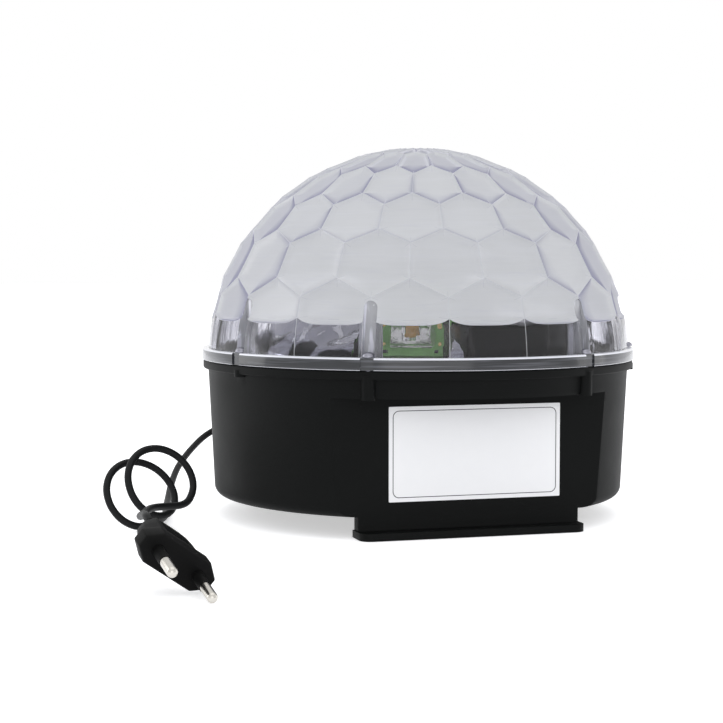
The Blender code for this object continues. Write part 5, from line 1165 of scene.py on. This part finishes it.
def make_cover():
    cover = loft("control_cover", sector_rings(COVER_IN_R, COVER_OUT_R, COVER_START_DEG,
                                               COVER_END_DEG, ON_DECK, COVER_TOP_Z, 36), GLOSS_BLACK)
    bevel(cover, 0.0012, 40, 3)
    inset_deg = degrees(COVER_WALL / COVER_IN_R)
    boolean(cover, loft("cover_hollow", sector_rings(
        COVER_IN_R + COVER_WALL, COVER_OUT_R - COVER_WALL, COVER_START_DEG + inset_deg,
        COVER_END_DEG - inset_deg, ON_DECK - OVERRUN, COVER_TOP_Z - COVER_WALL, 36)))
    bake(cover)
    put(cover, "driver_cover")


SLOPE = radians(50)
CARRIER_LOW_R, CARRIER_HEIGHT, BOARD_MID_SHARE = 0.034, 0.0262, 0.49
BOARD_W, BOARD_H, BOARD_T = 0.033, 0.030, 0.0016
BOARD_BOX = ((-BOARD_W / 2, -BOARD_H / 2, 0), (BOARD_W / 2, BOARD_H / 2, BOARD_T))
PAD_R, PAD_T, CHIP_T = 0.0011, 0.00008, 0.0007
PADS = (PAD_R, BOARD_T, BOARD_T + PAD_T, 20,
        [(x, y) for x in (-0.0140, 0.0140) for y in (-0.0085, 0, 0.0085)])
# Two larger chips above the lens and two below it
CHIPS = [((x - w / 2, y - h / 2, BOARD_T), (x + w / 2, y + h / 2, BOARD_T + CHIP_T))
         for y, w, h in ((0.0128, 0.0030, 0.0016), (-0.0128, 0.0020, 0.0012))
         for x in (-0.0125, 0.0125)]
AMBER_DOME = ((0, 0.0016), (0.0012, 0.00157), (0.0022, 0.00145), (0.0030, 0.0012),
              (0.0036, 0.0008), (0.0040, 0.0002), (0.0040, 0), (0, 0))
LENS_HALF_W, LENS_TOP_HALF_W, LENS_H = 0.0215 / 2, 0.0185 / 2, 0.0100
# Half width, height and corner radius of each level of the square lens
LENS_LEVELS = ((LENS_HALF_W, 0, 0.0012), (LENS_HALF_W, 0.0016, 0.0012),
               (LENS_HALF_W - 0.0008, 0.0018, 0.0012), (LENS_TOP_HALF_W, LENS_H - 0.0010, 0.0020),
               (LENS_TOP_HALF_W - 0.0004, LENS_H - 0.0003, 0.0020),
               (LENS_TOP_HALF_W - 0.0010, LENS_H, 0.0020))
LENS_RINGS = [[(x, y, z) for x, y in rounded_outline(-half, half, -half, half, corner, 4)]
              for half, z, corner in LENS_LEVELS]
LENS_POCKET = ((0, 0.0046), (0.0020, 0.0043), (0.0036, 0.0036), (0.0048, 0.0020),
               (0.0048, -OVERRUN), (0, -OVERRUN))
LENS_EYE = ((0, LENS_H + OVERRUN), (0.0072, LENS_H + OVERRUN), (0.0068, LENS_H - 0.0006),
            (0.0045, LENS_H - 0.0028), (0, LENS_H - 0.0036))


def head_place(angle_deg):
    """On the sloping face of a head: X across, Y up the slope, Z away from it."""
    out = around(angle_deg)
    slope_up = UP * sin(SLOPE) - out * cos(SLOPE)
    normal = out * sin(SLOPE) + UP * cos(SLOPE)
    foot = out * CARRIER_LOW_R + UP * ON_DECK
    turn = Matrix((UP.cross(out), slope_up, normal)).transposed().to_4x4()
    along = CARRIER_HEIGHT / sin(SLOPE) * BOARD_MID_SHARE
    return Matrix.Translation(foot + slope_up * along + normal * SEAT_GAP) @ turn


def make_heads():
    """Board with pads and chips, amber LED and square clear lens on each face."""
    for number, angle in enumerate(HEAD_ANGLES_DEG, 1):
        place = head_place(angle)
        on_board = place @ Matrix.Translation((0, 0, BOARD_T + SEAT_GAP))
        board = shape("head_board_%d" % number, GREEN, add_block, BOARD_BOX)
        bevel(board, 0.0003, 40, 2)
        bake(board)
        put(board, "led_board_%d" % number, place)
        pads = shape("head_pads_%d" % number, GOLD, add_rods, PADS)
        put(pads, None, place)
        chips = shape("head_chips_%d" % number, INK, add_block, *CHIPS)
        put(chips, None, place)
        dome = turned("amber_dome_%d" % number, AMBER_DOME, 36, AMBER)
        put(dome, "led_emitter_%d" % number, on_board)
        lens = loft("head_lens_%d" % number, LENS_RINGS, GLASS_HEAD)
        boolean(lens, turned("pocket_%d" % number, LENS_POCKET, 32))
        boolean(lens, turned("eye_%d" % number, LENS_EYE, 36))
        bake(lens)
        put(lens, "led_lens_%d" % number, on_board)


HUB_TOP_Z, HUB_FLANGE_R = 0.1030, 0.0140
ROTOR_BORE_R, ROTOR_R, ROTOR_T, ROTOR_DISH = 0.0020, 0.058, 0.0030, 0.0090
ROTOR_LOBES, ROTOR_LOBE_HEIGHT = 9, 0.0030


def rotor_surface(radius, angle):
    """The turning lens's underside, a shallow dish, and its lobed top."""
    share = max(0, (radius - HUB_FLANGE_R) / (ROTOR_R - HUB_FLANGE_R))
    low = HUB_TOP_Z + SEAT_GAP + ROTOR_DISH * share ** 2
    lobe = (1 + cos(ROTOR_LOBES * angle)) / 2 * sin(pi * share)
    return low, low + ROTOR_T + ROTOR_LOBE_HEIGHT * lobe


def make_rotor():
    outline = (ROTOR_BORE_R, ROTOR_R, 24, 180, rotor_surface)
    lens = shape("turning_lens", GLASS_HEAD, add_wavy_ring, outline)
    put(lens, "lens_rotor", body="rotor")


CASE_SCREW = (0.0027, 0.0020, 0.00135, 0.0094)
SMALL_SCREW = (0.0024, 0.0017, 0.0012, 0.0060)
# Shares of the head's radius and height, from its top's middle to its rim
SCREW_HEAD = ((0, 1), (0.35, 0.97), (0.65, 0.86), (0.86, 0.66), (0.97, 0.38), (1, 0.12), (0.98, 0))
CROSS_HALF_W, CROSS_DEPTH, CROSS_REACH = 0.0004, 0.0009, 0.55
CARRIER_SCREW_R, CARRIER_FLANGE_T, CARRIER_SCREW_TURN_DEG = 0.0427, 0.0020, 60
SCREW_TURN_DEG = 37


def screw_mesh(head_r, head_h, shank_r, shank_l):
    """A pan-head screw with a cross recess, its head resting on its origin."""
    profile = [(head_r * r, head_h * h) for r, h in SCREW_HEAD]
    profile += [(shank_r, 0), (shank_r, -shank_l * 0.9), (shank_r * 0.5, -shank_l), (0, -shank_l)]
    screw = turned("screw", profile, 28, ZINC)
    reach = head_r * CROSS_REACH
    for name, x, y in (("cross", reach, CROSS_HALF_W), ("cross_other", CROSS_HALF_W, reach)):
        box = ((-x, -y, head_h - CROSS_DEPTH), (x, y, head_h + OVERRUN))
        boolean(screw, shape(name, None, add_block, box))
    bake(screw)
    mesh = screw.data
    bpy.data.objects.remove(screw)
    return mesh


def make_screws():
    case, small = screw_mesh(*CASE_SCREW), screw_mesh(*SMALL_SCREW)
    carrier_spots = [around(a + CARRIER_SCREW_TURN_DEG, CARRIER_SCREW_R) for a in HEAD_ANGLES_DEG]
    for group, mesh, spots, height in (
            ("dome", case, CASE_SCREWS, PARTING_Z + DOME_FLANGE_T),
            ("deck", small, DECK_SCREWS, DECK_TOP),
            ("carrier", small, carrier_spots, ON_DECK + CARRIER_FLANGE_T)):
        for number, spot in enumerate(spots, 1):
            screw = new_object("%s_pan_screw_%d" % (group, number), mesh)
            turn = Matrix.Rotation(radians(SCREW_TURN_DEG * number), 4, "Z")
            place = Matrix.Translation(spot + UP * height + UP * SEAT_GAP) @ turn
            put(screw, "%s_screw_%d" % (group, number), place)


make_camera()
make_world()
make_floor()
make_lights()
dress_nodes()
make_cord()
make_base()
make_label()
make_dome()
make_tray()
make_cover()
make_heads()
make_rotor()
make_screws()
drop_tools()

bpy.context.scene.view_settings.view_transform = "Standard"
